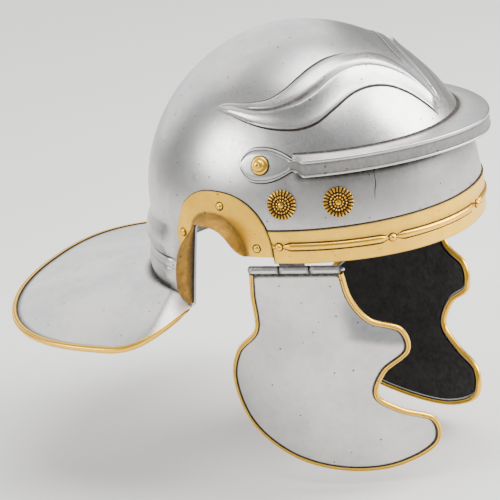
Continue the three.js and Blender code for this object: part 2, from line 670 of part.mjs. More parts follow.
// Outer face of the guard, or a face further in
function guardFace(x, z, inset) {
  const along = x - hinge.x;
  const down = Math.max(0, hinge.z - z);
  const bow = GUARD.bow * along * along * clamp(down / GUARD.bowFade, 0, 1);
  const inwards = HINGE.slope * along + GUARD.lean * down + GUARD.curl * down * down + bow;
  return point(x, hinge.y - GUARD.outset + inwards + inset, z);
}

// Outline of the guard, from the rear end of the hinge round to its front end
function guardOutline() {
  const half = HINGE.length / 2 - GUARD.endInset;
  const at = (along, down) => point(hinge.x + along, 0, guardTop - down * GUARD.height);
  const spots = [
    at(-half, 0), at(GUARD_REAR.along * HINGE.length, GUARD_REAR.down),
    ...GUARD_ROWS.map(({ along, down }) => at(along * GUARD.length, down)),
    at(GUARD_FRONT.along * HINGE.length, GUARD_FRONT.down), at(half, 0),
  ];
  return new THREE.CatmullRomCurve3(spots, false, 'centripetal').getSpacedPoints(GUARD.samples);
}

// The outline moved inwards by a distance
function insetOutline(spots, distance) {
  return spots.map((p, i) => {
    const before = spots[Math.max(0, i - 1)];
    const after = spots[Math.min(spots.length - 1, i + 1)];
    const along = after.clone().sub(before).normalize();
    return point(p.x - along.z * distance, 0, p.z + along.x * distance);
  });
}

// Sheet of the guard's form, larger all round than its outline
function guardSheet(inset, thick) {
  const halfLength = GUARD.length * (0.5 + GUARD.spare);
  const bottom = guardTop - GUARD.height * (1 + GUARD.spare);
  const fade = hinge.z - GUARD.bowFade;
  const { topRows, rows, columns } = GUARD;
  const heights = [
    ...Array.from({ length: topRows }, (_, i) => mix(hinge.z, fade, i / topRows)),
    ...Array.from({ length: rows + 1 }, (_, i) => mix(fade, bottom, i / rows)),
  ];
  const grid = (depth) => heights.map((z) => Array.from({ length: columns + 1 },
    (_, j) => guardFace(hinge.x + mix(-halfLength, halfLength, j / columns), z, depth)));
  return sheetSolid(grid(inset), grid(inset + thick));
}

function guardPrism(spots) {
  return sidePrism(spots.map((p) => [p.x, p.z]), -neckHalfWidth, 0);
}

const makeCheekGuard = () =>
  guardSheet(0, GUARD.sheet).intersect(guardPrism(guardOutline()));

// The part of an open outline below a height, cut off level
function belowHeight(spots, height) {
  return spots.flatMap((p, i) => {
    const kept = p.z < height ? [p] : [];
    const before = spots[i - 1];
    if (!before || before.z < height === p.z < height) return kept;
    return [before.clone().lerp(p, (height - before.z) / (p.z - before.z)), ...kept];
  });
}

function makeCheekLining() {
  const outline = insetOutline(guardOutline(), LINING.inset);
  const ceiling = hinge.z - HINGE.leafDown - LINING.below;
  return guardSheet(GUARD.sheet + GAP, LINING.sheet).intersect(guardPrism(belowHeight(outline, ceiling)));
}

function makeCheekEdging() {
  const spots = guardOutline();
  const face = (x, z) => guardFace(x, z, GUARD.sheet / 2);
  const path = spots.map((p, i) => {
    const before = spots[Math.max(0, i - 1)];
    const after = spots[Math.min(spots.length - 1, i + 1)];
    const along = face(after.x, after.z).sub(face(before.x, before.z)).normalize();
    const slopeX = face(p.x + 1, p.z).sub(face(p.x - 1, p.z));
    const slopeZ = face(p.x, p.z + 1).sub(face(p.x, p.z - 1));
    const normal = slopeX.cross(slopeZ).normalize();
    if (normal.y > 0) normal.negate();
    return { edge: face(p.x, p.z), outward: along.clone().cross(normal).normalize(), normal };
  });
  return channel(path, GUARD_EDGING, GUARD.sheet);
}

// Hinge: one knuckle and leaf on the bowl, two knuckles and a leaf on the guard, one pin

const hingeAlong = point(1, HINGE.slope, 0).normalize();
const hingeSpot = (along, up = 0) => hinge.clone().addScaledVector(hingeAlong, along).setZ(hinge.z + up);
const third = HINGE.length / 6;

function hingeRod(from, to, radius, sides) {
  const profile = [[0, 0], [radius, 0], [radius, to - from], [0, to - from]];
  return turned(profile, sides, hingeSpot(from), hingeAlong);
}

const knuckleRod = (from, to) => hingeRod(from, to, HINGE.knuckle, HINGE.sides);
const pinHole = () => hingeRod(-HINGE.length, HINGE.length, HINGE.pin + GAP, HINGE.sides);

function makeUpperHinge() {
  const half = third - HINGE.sideGap / 2;
  const heights = [hinge.z + GAP, 0, hinge.z + HINGE.leafUp];
  const leafEnd = half - HINGE.leafInset;
  const grid = (offset) => heights.map((z) => [-leafEnd, 0, leafEnd].map((along) => {
    const angle = wallAngle(hingeSpot(along).x);
    return bowlPoint(angle, Math.max(z, hinge.z), -BOWL.sheet - GAP - offset).setZ(z);
  }));
  const leaf = sheetSolid(grid(0), grid(HINGE.leaf));
  return knuckleRod(-half, half).add(leaf).subtract(pinHole());
}

// Strip of the guard's leaf, against the guard's inner face
function leafStrip(from, to, low, high) {
  const depth = GUARD.sheet + 2 * GAP;
  const grid = (inset) => [low, high].map((up) => [0, 0.5, 1].map((share) => {
    const { x, z } = hingeSpot(mix(from, to, share), up);
    return guardFace(x, z, inset);
  }));
  return sheetSolid(grid(depth), grid(depth + HINGE.leaf));
}

function makeLowerHinge() {
  const half = HINGE.length / 2;
  const inner = third + HINGE.sideGap / 2;
  const leafEnd = half - HINGE.leafMargin;
  const low = -HINGE.knuckle - HINGE.leafGap;
  const leaf = leafStrip(-leafEnd, leafEnd, -HINGE.leafDown, low);
  const tail = leafStrip(inner, leafEnd, low - HINGE.leaf, -HINGE.pin);
  const backTail = leafStrip(-leafEnd, -inner, low - HINGE.leaf, -HINGE.pin);
  const knuckles = knuckleRod(-half, -inner).add(knuckleRod(inner, half));
  return leaf.add(tail).add(backTail).add(knuckles).subtract(pinHole());
}

const makeHingePin = () =>
  hingeRod(-HINGE.length / 2 - HINGE.pinBack, HINGE.length / 2 + HINGE.pinFront, HINGE.pin, HINGE.pinSides);

// Assembly
const helmet = new THREE.Group();

function addPiece(name, solid, finish) {
  const mesh = new THREE.Mesh(toGeometry(solid), finish);
  mesh.name = name;
  helmet.add(mesh);
}

function addPair(name, solid, finish) {
  addPiece(`${name}_right`, solid, finish);
  addPiece(`${name}_left`, mirrored(solid), finish);
}

addPiece('bowl', makeBowl(), STEEL);
addPiece('neck_guard_edging', makeNeckEdging(), BRASS);
addPiece('brow_band', makeBrowBand(), BRASS);
addPiece('brow_peak', makePeak(), STEEL);
addPair('ear_guard', earGuardSolid(), DARK_BRASS);

const beadSeat = GAP + BAND.sheet + BEAD.proud + GAP;
const bandRivet = (angle) => rivetSolid(angle, BEAD.height, beadSeat);
const forwardOf = (share) => share * BOWL.frontReach;
addPiece('band_rivet_front', bandRivet(0), BRASS);
addPair('band_rivet_side', bandRivet(wallAngle(bandStart + BAND.rivetInset)), BRASS);
addPair('band_rivet_quarter', bandRivet(wallAngle(forwardOf(BAND.rivetQuarter))), BRASS);

const earSeat = GAP + EAR.sheet + GAP;
const stations = earStations();
Object.entries(EAR_RIVETS).forEach(([name, { around, share }]) => {
  const { x, z, plateX, plateZ } = stations[Math.round(around * (stations.length - 1))];
  const [forward, height] = [mix(x, plateX, share), mix(z, plateZ, share)];
  addPair(`ear_rivet_${name}`, rivetSolid(wallAngle(forward, height), height, earSeat), BRASS);
});

const peakSeat = GAP + EYE.sheet + GAP;
const eyeAngle = wallAngle(EYE.forward, eyeHeight);
addPair('peak_rivet', rivetSolid(eyeAngle, eyeHeight, peakSeat, PEAK_RIVET), BRASS);
addPair('rosette_rear', rosetteSolid(forwardOf(ROSETTE.rearForward)), BRASS);
addPair('rosette_fore', rosetteSolid(forwardOf(ROSETTE.foreForward)), BRASS);

addPair('hinge_upper_leaf', makeUpperHinge(), STEEL);
addPair('hinge_lower_leaf', makeLowerHinge(), STEEL);
addPair('hinge_pin', makeHingePin(), STEEL);
addPair('cheek_guard', makeCheekGuard(), STEEL);
addPair('cheek_edging', makeCheekEdging(), BRASS);
addPair('cheek_lining', makeCheekLining(), LINING_BLACK);

export default helmet;
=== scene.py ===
"""Roman legionary helmet: fine pieces and finishes around the packed frame.

Lengths are in metres. The origin is the centre of the rim, +X is the wearer's front,
+Y the wearer's left and +Z is up. Right-hand pieces are built and mirrored to the left.
"""

import math

import bpy
import numpy as np
from bpy.props import FloatProperty, FloatVectorProperty, PointerProperty
from mathutils import Matrix, Vector
from mathutils.geometry import delaunay_2d_cdt


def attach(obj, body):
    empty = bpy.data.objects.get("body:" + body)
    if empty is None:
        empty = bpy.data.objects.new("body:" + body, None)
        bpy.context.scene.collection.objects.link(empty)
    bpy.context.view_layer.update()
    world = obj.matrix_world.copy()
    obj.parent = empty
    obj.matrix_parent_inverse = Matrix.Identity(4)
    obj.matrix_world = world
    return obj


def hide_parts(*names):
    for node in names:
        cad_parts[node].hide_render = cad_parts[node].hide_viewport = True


bl_info = {
    "name": "Legionary Helmet",
    "version": (1, 0, 0),
    "blender": (4, 5, 0),
    "location": "View3D > Sidebar > Helmet",
    "description": "Builds an iron and brass helmet with a neck guard and hinged cheek guards",
    "category": "Add Mesh",
}

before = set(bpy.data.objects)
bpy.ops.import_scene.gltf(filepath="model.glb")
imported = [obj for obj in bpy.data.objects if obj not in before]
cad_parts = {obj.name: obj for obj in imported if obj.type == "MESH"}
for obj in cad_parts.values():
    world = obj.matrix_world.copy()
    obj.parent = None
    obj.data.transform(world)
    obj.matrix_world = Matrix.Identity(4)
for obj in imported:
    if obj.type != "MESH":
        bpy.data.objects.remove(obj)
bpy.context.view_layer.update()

MM = 0.001
GAP = 0.3 * MM
SHARP = math.radians(32)

# How finely the pieces are divided, along their length
CURVE_STEPS = 40
HALF_COLUMNS = 141
BROW_POINTS = 260
NECK_COLUMNS = 241
NECK_EDGE_POINTS = 281
BAND_COLUMNS = 641
BAR_COLUMNS = 241
EYE_COLUMNS = 81
EAR_POINTS = 221
GUARD_POINTS = 260
GUARD_EDGE_POINTS = 420
# and round their axis
RIVET_SIDES = 36
ROSETTE_SIDES = 72
BEAD_SIDES = 8
PIN_SIDES = 20
KNUCKLE_SIDES = 28

# Nape from its top to the crease: share of the way down, share of the ribs' height
NAPE_ROWS = [
    (0, 0), (0.07, 0.1), (0.14, 0.37), (0.22, 0.72), (0.3, 0.93), (0.38, 0.98), (0.46, 0.9),
    (0.515, 0.74), (0.535, 0.44), (0.55, 0.44), (0.575, 0.7), (0.62, 0.82), (0.668, 0.84),
    (0.682, 0.74), (0.7, 0.88), (0.76, 1.05), (0.84, 1.06), (0.92, 0.97), (1, 0.72),
]
# Grooves of the nape: share of the way down, half width, strength of the painted shade
NAPE_GROOVES = [(0.542, 0.026, 1.6), (0.682, 0.014, 0.7)]
# Rows of the nape and wall: from and to, as shares of the way down, and how many
WALL_ROWS = [
    (1, 0.76, 14), (0.76, 0.66, 14), (0.66, 0.58, 8), (0.58, 0.51, 18), (0.51, 0.3, 12),
    (0.3, 0, 14),
]
BLEND_TOP = 50 * MM
BLEND_ROWS = 14
DOME_ROWS = 58

# Bend line of the ear arch: shares of its depth, of its height and of the flange's reach
ARCH_ROWS = [
    (0, 0, 0.05, 0), (0.013, 0.12, 0.42, 0), (0.035, 0.28, 0.74, 0), (0.065, 0.46, 0.95, 0),
    (0.12, 0.65, 1, 0), (0.18, 0.79, 1, 0.05), (0.25, 0.89, 0.98, 0.12), (0.35, 0.97, 0.92, 0.22),
    (0.45, 1, 0.82, 0.32), (0.55, 0.99, 0.66, 0.32), (0.66, 0.92, 0.45, 0.22),
    (0.74, 0.78, 0.28, 0.1), (0.79, 0.58, 0.24, 0),
]
# Back leg of the ear guard: share of the way down, share of the flange's reach
LEG_ROWS = [
    (0.06, 0.5), (0.14, 0.78), (0.26, 0.95), (0.4, 1), (0.55, 0.98), (0.7, 0.88),
    (0.83, 0.68), (0.93, 0.42), (1, 0.12),
]
# Rivets of the ear guard: station of the bend line, share of the way to the plate's edge
EAR_RIVETS = {"front": (1, 0.5), "top": (7, 0.5), "back": (13, 0.6)}

# Eyebrow from its tail to the front: angle and share of the way from peak to crown, for its
# top line, ridge and low line
BROW_ROWS = [
    (114, 0.41, 114, 0.393, 113, 0.377), (108, 0.437, 106, 0.402, 104.5, 0.346),
    (100.5, 0.445, 98, 0.391, 97, 0.302), (92.2, 0.454, 90, 0.369, 91, 0.269),
    (83, 0.479, 80, 0.366, 82.5, 0.231), (75, 0.543, 72.5, 0.383, 73, 0.211),
    (66, 0.637, 65, 0.418, 66, 0.213), (56.5, 0.713, 56, 0.495, 58.5, 0.252),
    (44, 0.767, 46, 0.589, 49, 0.36), (30, 0.778, 34, 0.647, 38.5, 0.46),
    (15, 0.747, 22, 0.643, 27.5, 0.485), (6, 0.678, 13.5, 0.574, 19, 0.439),
    (2, 0.564, 8, 0.47, 13, 0.339), (1, 0.377, 4.5, 0.335, 9, 0.215),
    (0.5, 0.169, 1.8, 0.169, 5.5, 0.076),
]
# Metres that a radian counts for when the eyebrow's rows are spaced
TURN_WEIGHT = 0.09
# Share of the relief lost at the front end, and degrees where the top line's painted shade fades
BROW_SIDES = {"right": (0.45, (10, 42)), "left": (0.92, (1.4, 2.6))}
# Section of the eyebrow from its top line (0) over its ridge (1) to its low line (2):
# place, height in millimetres, painted shade
BROW_SECTION = [
    (-0.02, -0.9, 1), (-0.02, 0.07, 1), (0.04, 0.07, 1), (0.07, 0.4, 0.5), (0.12, 0.75, 0),
    (0.3, 1, 0), (0.48, 1.25, 0), (0.58, 1.25, 0), (0.64, 1, 0.5), (0.7, 0.75, 0.9),
    (0.8, 0.65, 0.9), (0.86, 0.9, 0.6), (0.9, 1.7, 0.1), (0.95, 2.7, 0), (0.99, 3.15, 0),
    (1.03, 3.15, 0), (1.12, 2.6, 0), (1.3, 1.8, 0), (1.55, 1.3, 0.05), (1.74, 1.3, 0),
    (1.85, 1.5, 0), (1.91, 1.3, 0.2), (1.94, 0.6, 1), (1.95, 0.1, 1), (2.02, 0.07, 1),
    (2.02, -0.9, 1),
]

# Hairline crack in the wall under the peak: angle and height in millimetres
CRACK = [(-40.87, 57.6), (-40.84, 52.7), (-41.06, 48.9), (-41.79, 44.5), (-42.16, 39.4)]
# Millimetres that a radian counts for along the crack, and half its width in radians
CRACK_TURN = 100
CRACK_HALF = 0.0028

# Shadow on the wall under the peak: heights between which it deepens, and its strength
WALL_SHADE = [(40 * MM, 57 * MM, 0.34), (56 * MM, 58 * MM, 0.5)]
WALL_SHADE_LEAST = 0.16
WALL_SHADE_FADE = (20 * MM, 30 * MM)
WALL_SHADE_TOP = 64 * MM
WALL_SHADE_TURN = math.radians(74)

# Section of the eye plate from its low edge to its middle: side, inset in bevels, whether it is
# a plain share of the height, height as a share of the sheet, painted shade
EYE_SECTION = [
    (-1, -0.5, 0, 0.03, 1), (-1, 0, 0, 0.06, 1), (-1, 0.12, 0, 0.8, 0.5), (-1, 0.4, 0, 1, 0),
    (-1, 0.95, 0, 0.98, 0), (-1, 1.1, 0, 0.8, 0.95), (-1, 1.4, 0, 0.78, 0.6),
    (-1, 1.6, 0, 0.86, 0), (-0.5, 0, 1, 0.95, 0), (0, 0, 1, 1, 0),
]

# Ear guard, round its section: rounding in millimetres, painted shade, brown patina
EAR_SECTION = [
    (0.8, 1, 1), (0, 1, 1), (0, 1, 1), (0, 1, 1), (0, 1, 0), (0, 1, 0), (0, 1, 0), (0.45, 0.4, 0),
    (0, 0, 0), (0, 0, 0), (0, 0, 0), (0, 0, 0.1), (1.5, 0.55, 0.8), (0.45, 0.25, 1), (0.4, 0.5, 1),
    (0, 0.35, 1),
]

# Domed rivet of the peak in two tiers: radius and height as shares, painted shade
PEAK_RIVET_ROWS = [
    (1.12, 0, 1), (1.12, 0.04, 1), (0.97, 0.05, 1), (1, 0.1, 0.4), (0.98, 0.24, 0),
    (0.9, 0.34, 0), (0.76, 0.38, 0.1), (0.68, 0.39, 0.9), (0.65, 0.45, 0.6), (0.63, 0.62, 0),
    (0.58, 0.8, 0), (0.45, 0.93, 0), (0.25, 1, 0), (0.14, 0.98, 0.1), (0.08, 0.92, 0.8),
    (0.02, 0.9, 0.9),
]

# Rosette, in shares of its radius and height. Dish with the boss: out, up, painted shade
ROSETTE_DISH = [
    (0.94, 0, 1), (0.96, 0.06, 1), (0.95, 0.12, 1), (0.6, 0.12, 1), (0.2, 0.14, 1),
    (0.19, 0.42, 0.5), (0.17, 0.8, 0), (0.11, 0.95, 0), (0.03, 1, 0),
]
# Petals: out, half width, rise
PETAL_ROWS = [
    (0.65, 0.02, 0.2), (0.68, 0.05, 0.5), (0.78, 0.068, 0.62), (0.9, 0.082, 0.56),
    (0.97, 0.066, 0.36), (1.0, 0.03, 0.14),
]
# Painted shade along the petals' sides
PETAL_SHADE = [0.8, 0.2, 0, 0, 0.2, 0.8]
PETALS = 24
# Rings of beads: how many, and how far out
BEAD_RINGS = [(18, 0.52), (11, 0.31)]
BEAD_WIDTH = 0.075

# Bowl's leaf of the hinge, below and inside the rim: inset in millimetres, from its low edge up
LEAF_INSETS = [2.2, 1.6, 0.7, 0.1, 0, 0, 0, 0, 0, 0]

# Metals by slot: clean, dull and patina colour, roughness, patches (scale, amount), work
# (hammer, brush, grain), pits (scale, radius, share), least of the patina in its patches
# For the iron the patina colour is a painted dark reflection, laid on the cheek guards
METALS = {
    "iron": ("iron", "iron_dark", "shade", 0.29, (26.0, 0.5), (0.8, 0.3, 0.25),
             (230.0, 0.17, 0.1), 0.9),
    "brass": ("brass", "brass_dark", "aged", 0.3, (60.0, 0.45), (0.6, 0.12, 0.2),
              (300.0, 0.15, 0.06), 0.45),
    "aged_brass": ("brass", "brass_dark", "aged", 0.36, (48.0, 0.6), (0.8, 0.15, 0.4),
                   (260.0, 0.2, 0.12), 0.45),
}

# Studio: floor, lights (name, azimuth and height in degrees, distance, power, width) and camera
FLOOR_DEPTH = -0.18
FLOOR_HALF = 4.0
AIM = (-0.02, -0.03, 0.02)
LIGHTS = [
    ("side", -42, 24, 2.0, 22.0, 0.75), ("front", 112, 38, 2.0, 110.0, 1.7),
    ("top", 60, 82, 2.0, 45.0, 1.3), ("back", -128, 32, 2.6, 58.0, 3.2),
]
SKY = (0.86, 0.88, 0.9, 1)
SKY_STRENGTH = 0.36
CAMERA_PLACE = (0.629394, -1.262355, 0.47472)
CAMERA_AXES = ((0.892, 0.436, -0.120), (-0.046, 0.350, 0.936), (0.450, -0.829, 0.332))
CAMERA_LENS = 150.785

# Cheek guard outline: along and down as shares of its length and height
GUARD_REAR = (-0.53, 0.102)
GUARD_FRONT = (0.521, 0.129)
GUARD_ROWS = [
    (-0.276, 0.285), (-0.413, 0.408), (-0.482, 0.565), (-0.433, 0.778), (-0.24, 0.927),
    (0.055, 1), (0.324, 0.985), (0.5, 0.893), (0.502, 0.775), (0.37, 0.706), (0.275, 0.623),
    (0.326, 0.505), (0.445, 0.412), (0.431, 0.306), (0.307, 0.241),
]


# Sizes and colours

def size(label, about, millimetres):
    """A length in the panel, given in millimetres."""
    return FloatProperty(name=label, description=about, default=millimetres * MM, min=0.0,
                         unit="LENGTH", subtype="DISTANCE", precision=4)


def share(label, about, default):
    """A plain number in the panel."""
    return FloatProperty(name=label, description=about, default=default, min=0.0)


def turn(label, about, degrees):
    """An angle in the panel, given in degrees."""
    return FloatProperty(name=label, description=about, default=math.radians(degrees),
                         subtype="ANGLE", unit="ROTATION")


def tint(label, about, colour):
    """A colour in the panel."""
    return FloatVectorProperty(name=label, description=about, default=colour, min=0.0, max=1.0,
                               size=3, subtype="COLOR")


class HelmetBowl(bpy.types.PropertyGroup):
    """Sizes of the skull, its nape and its eyebrows."""
    front_reach: size("Front reach", "From the middle to the front of the rim", 121.3)
    back_reach: size("Back reach", "From the middle to the back of the rim", 118.5)
    half_width: size("Half width", "From the middle to the side of the rim", 98.5)
    plan_power: share("Plan roundness", "Power of the rim's oval", 2.114)
    wall_height: size("Wall height", "Height of the upright wall", 23.9)
    dome_height: size("Dome height", "Height of the dome above the wall", 116.1)
    dome_power: share("Dome roundness", "Power of the dome's side outline", 1.921)
    sheet: size("Sheet", "Thickness of the iron", 1.5)
    rim_lift: size("Rim lift", "Height of the rim above the band's lower edge", 0.5)
    nape_top: size("Nape top", "Height at which the ribs of the nape start", 20)
    nape_depth: size("Nape depth", "Depth of the crease at the back", 30)
    corner_depth: size("Corner depth", "Depth of the crease at the ear guards", 39)
    rib_proud: size("Ribs", "How far the ribs of the nape stand out", 5)
    rib_fade_from: turn("Rib fade start", "Angle before the ear guard where the ribs fade", 10.5)
    rib_fade_to: turn("Rib fade end", "Angle before the ear guard where the ribs end", 5.5)


class HelmetNeck(bpy.types.PropertyGroup):
    """Sizes of the neck guard and its edging."""
    centre_inset: size("Centre inset", "From the bowl's back to the middle of the guard", 6.5)
    reach_behind: size("Reach behind", "From the guard's middle to its rear edge", 112)
    reach_ahead: size("Reach ahead", "From the guard's middle to its front corners", 60)
    overhang: size("Overhang", "How far the guard stands out at the sides", 33)
    plan_power: share("Plan roundness", "Power of the guard's oval", 2.75)
    middle_drop: size("Middle drop", "Depth of the rear edge's middle", 44)
    side_drop: size("Side drop", "Depth of the guard's sides", 58)
    corner_drop: size("Corner drop", "Depth of the front corners", 42)
    corner_angle: turn("Corner angle", "Angle from the back to a front corner", 143)
    root_inset: size("Root inset", "How far the root runs in front of the ear guard's heel", 2.6)
    sheet: size("Sheet", "Thickness of the iron", 1.5)
    edge_width: size("Edging width", "Width of the brass edging", 4.4)
    edge_cover: size("Edging cover", "How far the edging covers the iron", 2.6)
    edge_half: size("Edging half height", "Half the height of the brass edging", 2.25)


class HelmetEar(bpy.types.PropertyGroup):
    """Sizes of the brass ear guards."""
    arch_forward: size("Arch forward", "Place of the arch's front foot behind the middle", 6.9)
    arch_top: size("Arch top", "Height of the arch", 30.2)
    arch_depth: size("Arch depth", "Length that the arch's rows are shares of", 50)
    foot: size("Foot", "Height of the front foot", 4.3)
    heel_lift: size("Heel lift", "Height of the heel above the crease's corner", 1.7)
    heel_width: size("Heel width", "Width of the plate at its heel", 5.6)
    plate_top: size("Plate top", "Height of the plate", 48)
    plate_front: size("Plate front", "Front end of the plate before the middle", 14.3)
    plate_middle: size("Plate middle", "Place of the plate's top behind the middle", 28)
    plate_back: size("Plate back", "Rear end of the plate behind the middle", 63.3)
    plate_power: share("Plate roundness", "Power of the plate's outline", 2.25)
    sheet: size("Sheet", "Thickness of the brass", 1)
    flange_front: size("Flange over the ear", "How far the flange stands out over the ear", 12.8)
    flange_back: size("Flange behind", "How far the flange stands out behind the ear", 15.6)


class HelmetTrim(bpy.types.PropertyGroup):
    """Sizes of the brow band, peak, rivets and rosettes."""
    band_gap: size("Band gap", "Between the band's end and the ear guard", 0.5)
    band_side: size("Band height, sides", "Height of the band at its ends", 22.8)
    band_front: size("Band height, front", "Height of the band at the front", 25.9)
    band_sheet: size("Band sheet", "Thickness of the band", 1)
    bead_height: size("Bead height", "Height of the middle of the bead", 12)
    bead_half: size("Bead half width", "Half the width of the bead", 2.2)
    bead_proud: size("Bead", "How far the bead stands out", 1.5)
    band_rivet_inset: size("Band rivet inset", "From the band's end to its first rivet", 4.6)
    band_rivet_quarter: size("Quarter rivet", "Place of the band's second rivet", 89)
    rivet: size("Rivet radius", "Radius of a small rivet's head", 2.5)
    rivet_tall: size("Rivet height", "Height of a small rivet's head", 1.4)
    peak_rivet: size("Peak rivet radius", "Radius of the peak's rivets", 6)
    peak_rivet_tall: size("Peak rivet height", "Height of the peak's rivets", 4.6)
    rosette: size("Rosette radius", "Radius of a rosette", 10.3)
    rosette_tall: size("Rosette height", "Height of a rosette's boss", 2.4)
    rosette_height: size("Rosette place", "Height of the rosettes' middles", 40.7)
    rosette_rear: size("Rear rosette", "Place of the rear rosettes", 23.6)
    rosette_fore: size("Fore rosette", "Place of the fore rosettes", 60.4)
    peak_height: size("Peak height", "Height of the peak's bar", 72.6)
    peak_front: size("Peak, front", "How far the bar stands out in front", 25.1)
    peak_side: size("Peak, sides", "How far the bar's oval stands out at the sides", 15.3)
    peak_power: share("Peak roundness", "Power of the bar's oval", 1.823)
    peak_face: size("Peak face", "Height of the bar's front face", 11.6)
    peak_sheet: size("Peak sheet", "Thickness of the folded bar", 2)
    peak_rise: size("Peak rise", "How far the bar rises in front", 2)
    peak_end: turn("Peak end", "Angle at which the bar runs into its plates", 70)
    eye_forward: size("Eye plate place", "Place of the eye plate's middle", 9.5)
    eye_below: size("Eye plate drop", "Height of the plate's middle below the bar", 6.6)
    eye_length: size("Eye plate tail", "Length of the plate behind its middle", 15)
    eye_half: size("Eye plate half height", "Half the height of the plate", 11)
    eye_sheet: size("Eye plate sheet", "Thickness of the plate", 2)


class HelmetCheek(bpy.types.PropertyGroup):
    """Sizes of the hinges and the cheek guards."""
    hinge_forward: size("Hinge place", "Place of the hinge's middle", 25.5)
    hinge_drop: size("Hinge drop", "Depth of the pin below the rim's plane", 6.5)
    hinge_slope: share("Hinge slope", "How the hinge turns in towards its front", 0.17)
    hinge_length: size("Hinge length", "Length of the three knuckles", 64)
    knuckle: size("Knuckle radius", "Radius of a knuckle", 2.75)
    set_back: size("Hinge set back", "Room between the knuckles and the bowl", 0.4)
    pin: size("Pin radius", "Radius of the hinge's pin", 1.2)
    leaf: size("Leaf", "Thickness of a hinge leaf", 1.2)
    leaf_up: size("Leaf up", "Height of the bowl's leaf", 22)
    leaf_down: size("Leaf down", "Height of the guard's leaf", 14)
    length: size("Guard length", "Length that the outline's rows are shares of", 137.8)
    height: size("Guard height", "Height of the guard", 157.7)
    sheet: size("Guard sheet", "Thickness of the iron", 1.2)
    lean: share("Lean", "How the guard leans inwards", 0.13)
    bow: share("Bow", "How the guard bows round the cheek", 3.57)
    curl: share("Curl", "How the guard curls in towards its tip", 0.22)
    bow_fade: size("Bow fade", "Depth over which the bow starts", 45)
    edge_width: size("Edging width", "Width of the brass edging", 3.4)
    edge_cover: size("Edging cover", "How far the edging covers the iron", 2)
    edge_half: size("Edging half height", "Half the height of the edging", 1.8)
    lining: size("Lining", "Thickness of the leather", 1)
    lining_inset: size("Lining inset", "From the guard's outline to the leather", 4)
    lining_below: size("Lining below", "From the hinge leaf to the leather", 4.7)


class HelmetFinish(bpy.types.PropertyGroup):
    """Colours of the finishes."""
    iron: tint("Iron", "Clean satin iron", (0.62, 0.605, 0.585))
    iron_dark: tint("Dark iron", "Duller patches of the iron", (0.40, 0.40, 0.41))
    brass: tint("Brass", "Clean brass", (1.0, 0.60, 0.06))
    brass_dark: tint("Dull brass", "Duller patches of the brass", (0.84, 0.43, 0.03))
    aged: tint("Aged brass", "Brown patches on the flanges", (0.42, 0.21, 0.04))
    # A painted dark reflection on the polished cheek guards, used as the iron's patina colour
    shade: tint("Shaded iron", "Dark polished patches", (0.08, 0.085, 0.1))
    # Near-black painted shade for creases, seams, grooves and undersides; also the colour of the
    # pits and the crack
    shade_and_dirt: tint("Dirt", "Dirt in grooves and along edges", (0.022, 0.016, 0.011))
    leather: tint("Leather", "Black lining leather", (0.012, 0.011, 0.011))
    floor: tint("Floor", "Studio floor", (0.72, 0.71, 0.69))


# Curves, grids and meshes

def smooth(value, low, high):
    """Zero below low, one above high and an even turn between."""
    t = np.clip((np.asarray(value, float) - low) / (high - low), 0, 1)
    return t * t * (3 - 2 * t)


def mix(a, b, t):
    return a + (b - a) * t


def unit(vectors):
    return vectors / np.maximum(np.linalg.norm(vectors, axis=-1, keepdims=True), 1e-12)


def curve_through(points, count, measured=None):
    """Points spaced evenly along a smooth curve through the given ones.

    The first `measured` columns count for the spacing."""
    given = np.asarray(points, float)
    spots = np.vstack([2 * given[0] - given[1], given, 2 * given[-1] - given[-2]])
    measured = measured or given.shape[1]
    gap = np.sqrt(np.linalg.norm(np.diff(spots[:, :measured], axis=0), axis=1))[:, None]
    a, b, c, d = spots[:-3], spots[1:-2], spots[2:-1], spots[3:]
    before, here, after = gap[:-2], gap[1:-1], gap[2:]
    leave = ((b - a) / before - (c - a) / (before + here) + (c - b) / here) * here
    reach = ((c - b) / here - (d - b) / (here + after) + (d - c) / after) * here
    t = np.linspace(0, 1, CURVE_STEPS, endpoint=False)[None, :, None]
    b, c, leave, reach = (v[:, None, :] for v in (b, c, leave, reach))
    dense = ((2 * t**3 - 3 * t**2 + 1) * b + (t**3 - 2 * t**2 + t) * leave
             + (3 * t**2 - 2 * t**3) * c + (t**3 - t**2) * reach)
    dense = np.vstack([dense.reshape(-1, given.shape[1]), given[-1]])
    steps = np.linalg.norm(np.diff(dense[:, :measured], axis=0), axis=1)
    run = np.concatenate([[0], np.cumsum(steps)])
    even = np.linspace(0, run[-1], count)
    return np.stack([np.interp(even, run, column) for column in dense.T], -1)


def rounded(ring, cuts, steps):
    """Closed rings (..., n, 3) with their corners rounded off by the given cuts."""
    before, after = np.roll(ring, 1, axis=-2), np.roll(ring, -1, axis=-2)
    to_before, to_after = before - ring, after - ring
    spots, picked = [], []
    for k, cut in enumerate(cuts):
        corner = ring[..., k, :]
        if not cut:
            spots.append(corner)
            picked.append(k)
            continue
        a, b = to_before[..., k, :], to_after[..., k, :]
        room_a = np.linalg.norm(a, axis=-1, keepdims=True)
        room_b = np.linalg.norm(b, axis=-1, keepdims=True)
        reach = np.minimum(cut, 0.48 * np.minimum(room_a, room_b))
        start, end = corner + a / room_a * reach, corner + b / room_b * reach
        for t in np.linspace(0, 1, steps + 1):
            spots.append((1 - t)**2 * start + 2 * t * (1 - t) * corner + t * t * end)
            picked.append(k)
    return np.stack(spots, -2), np.array(picked)


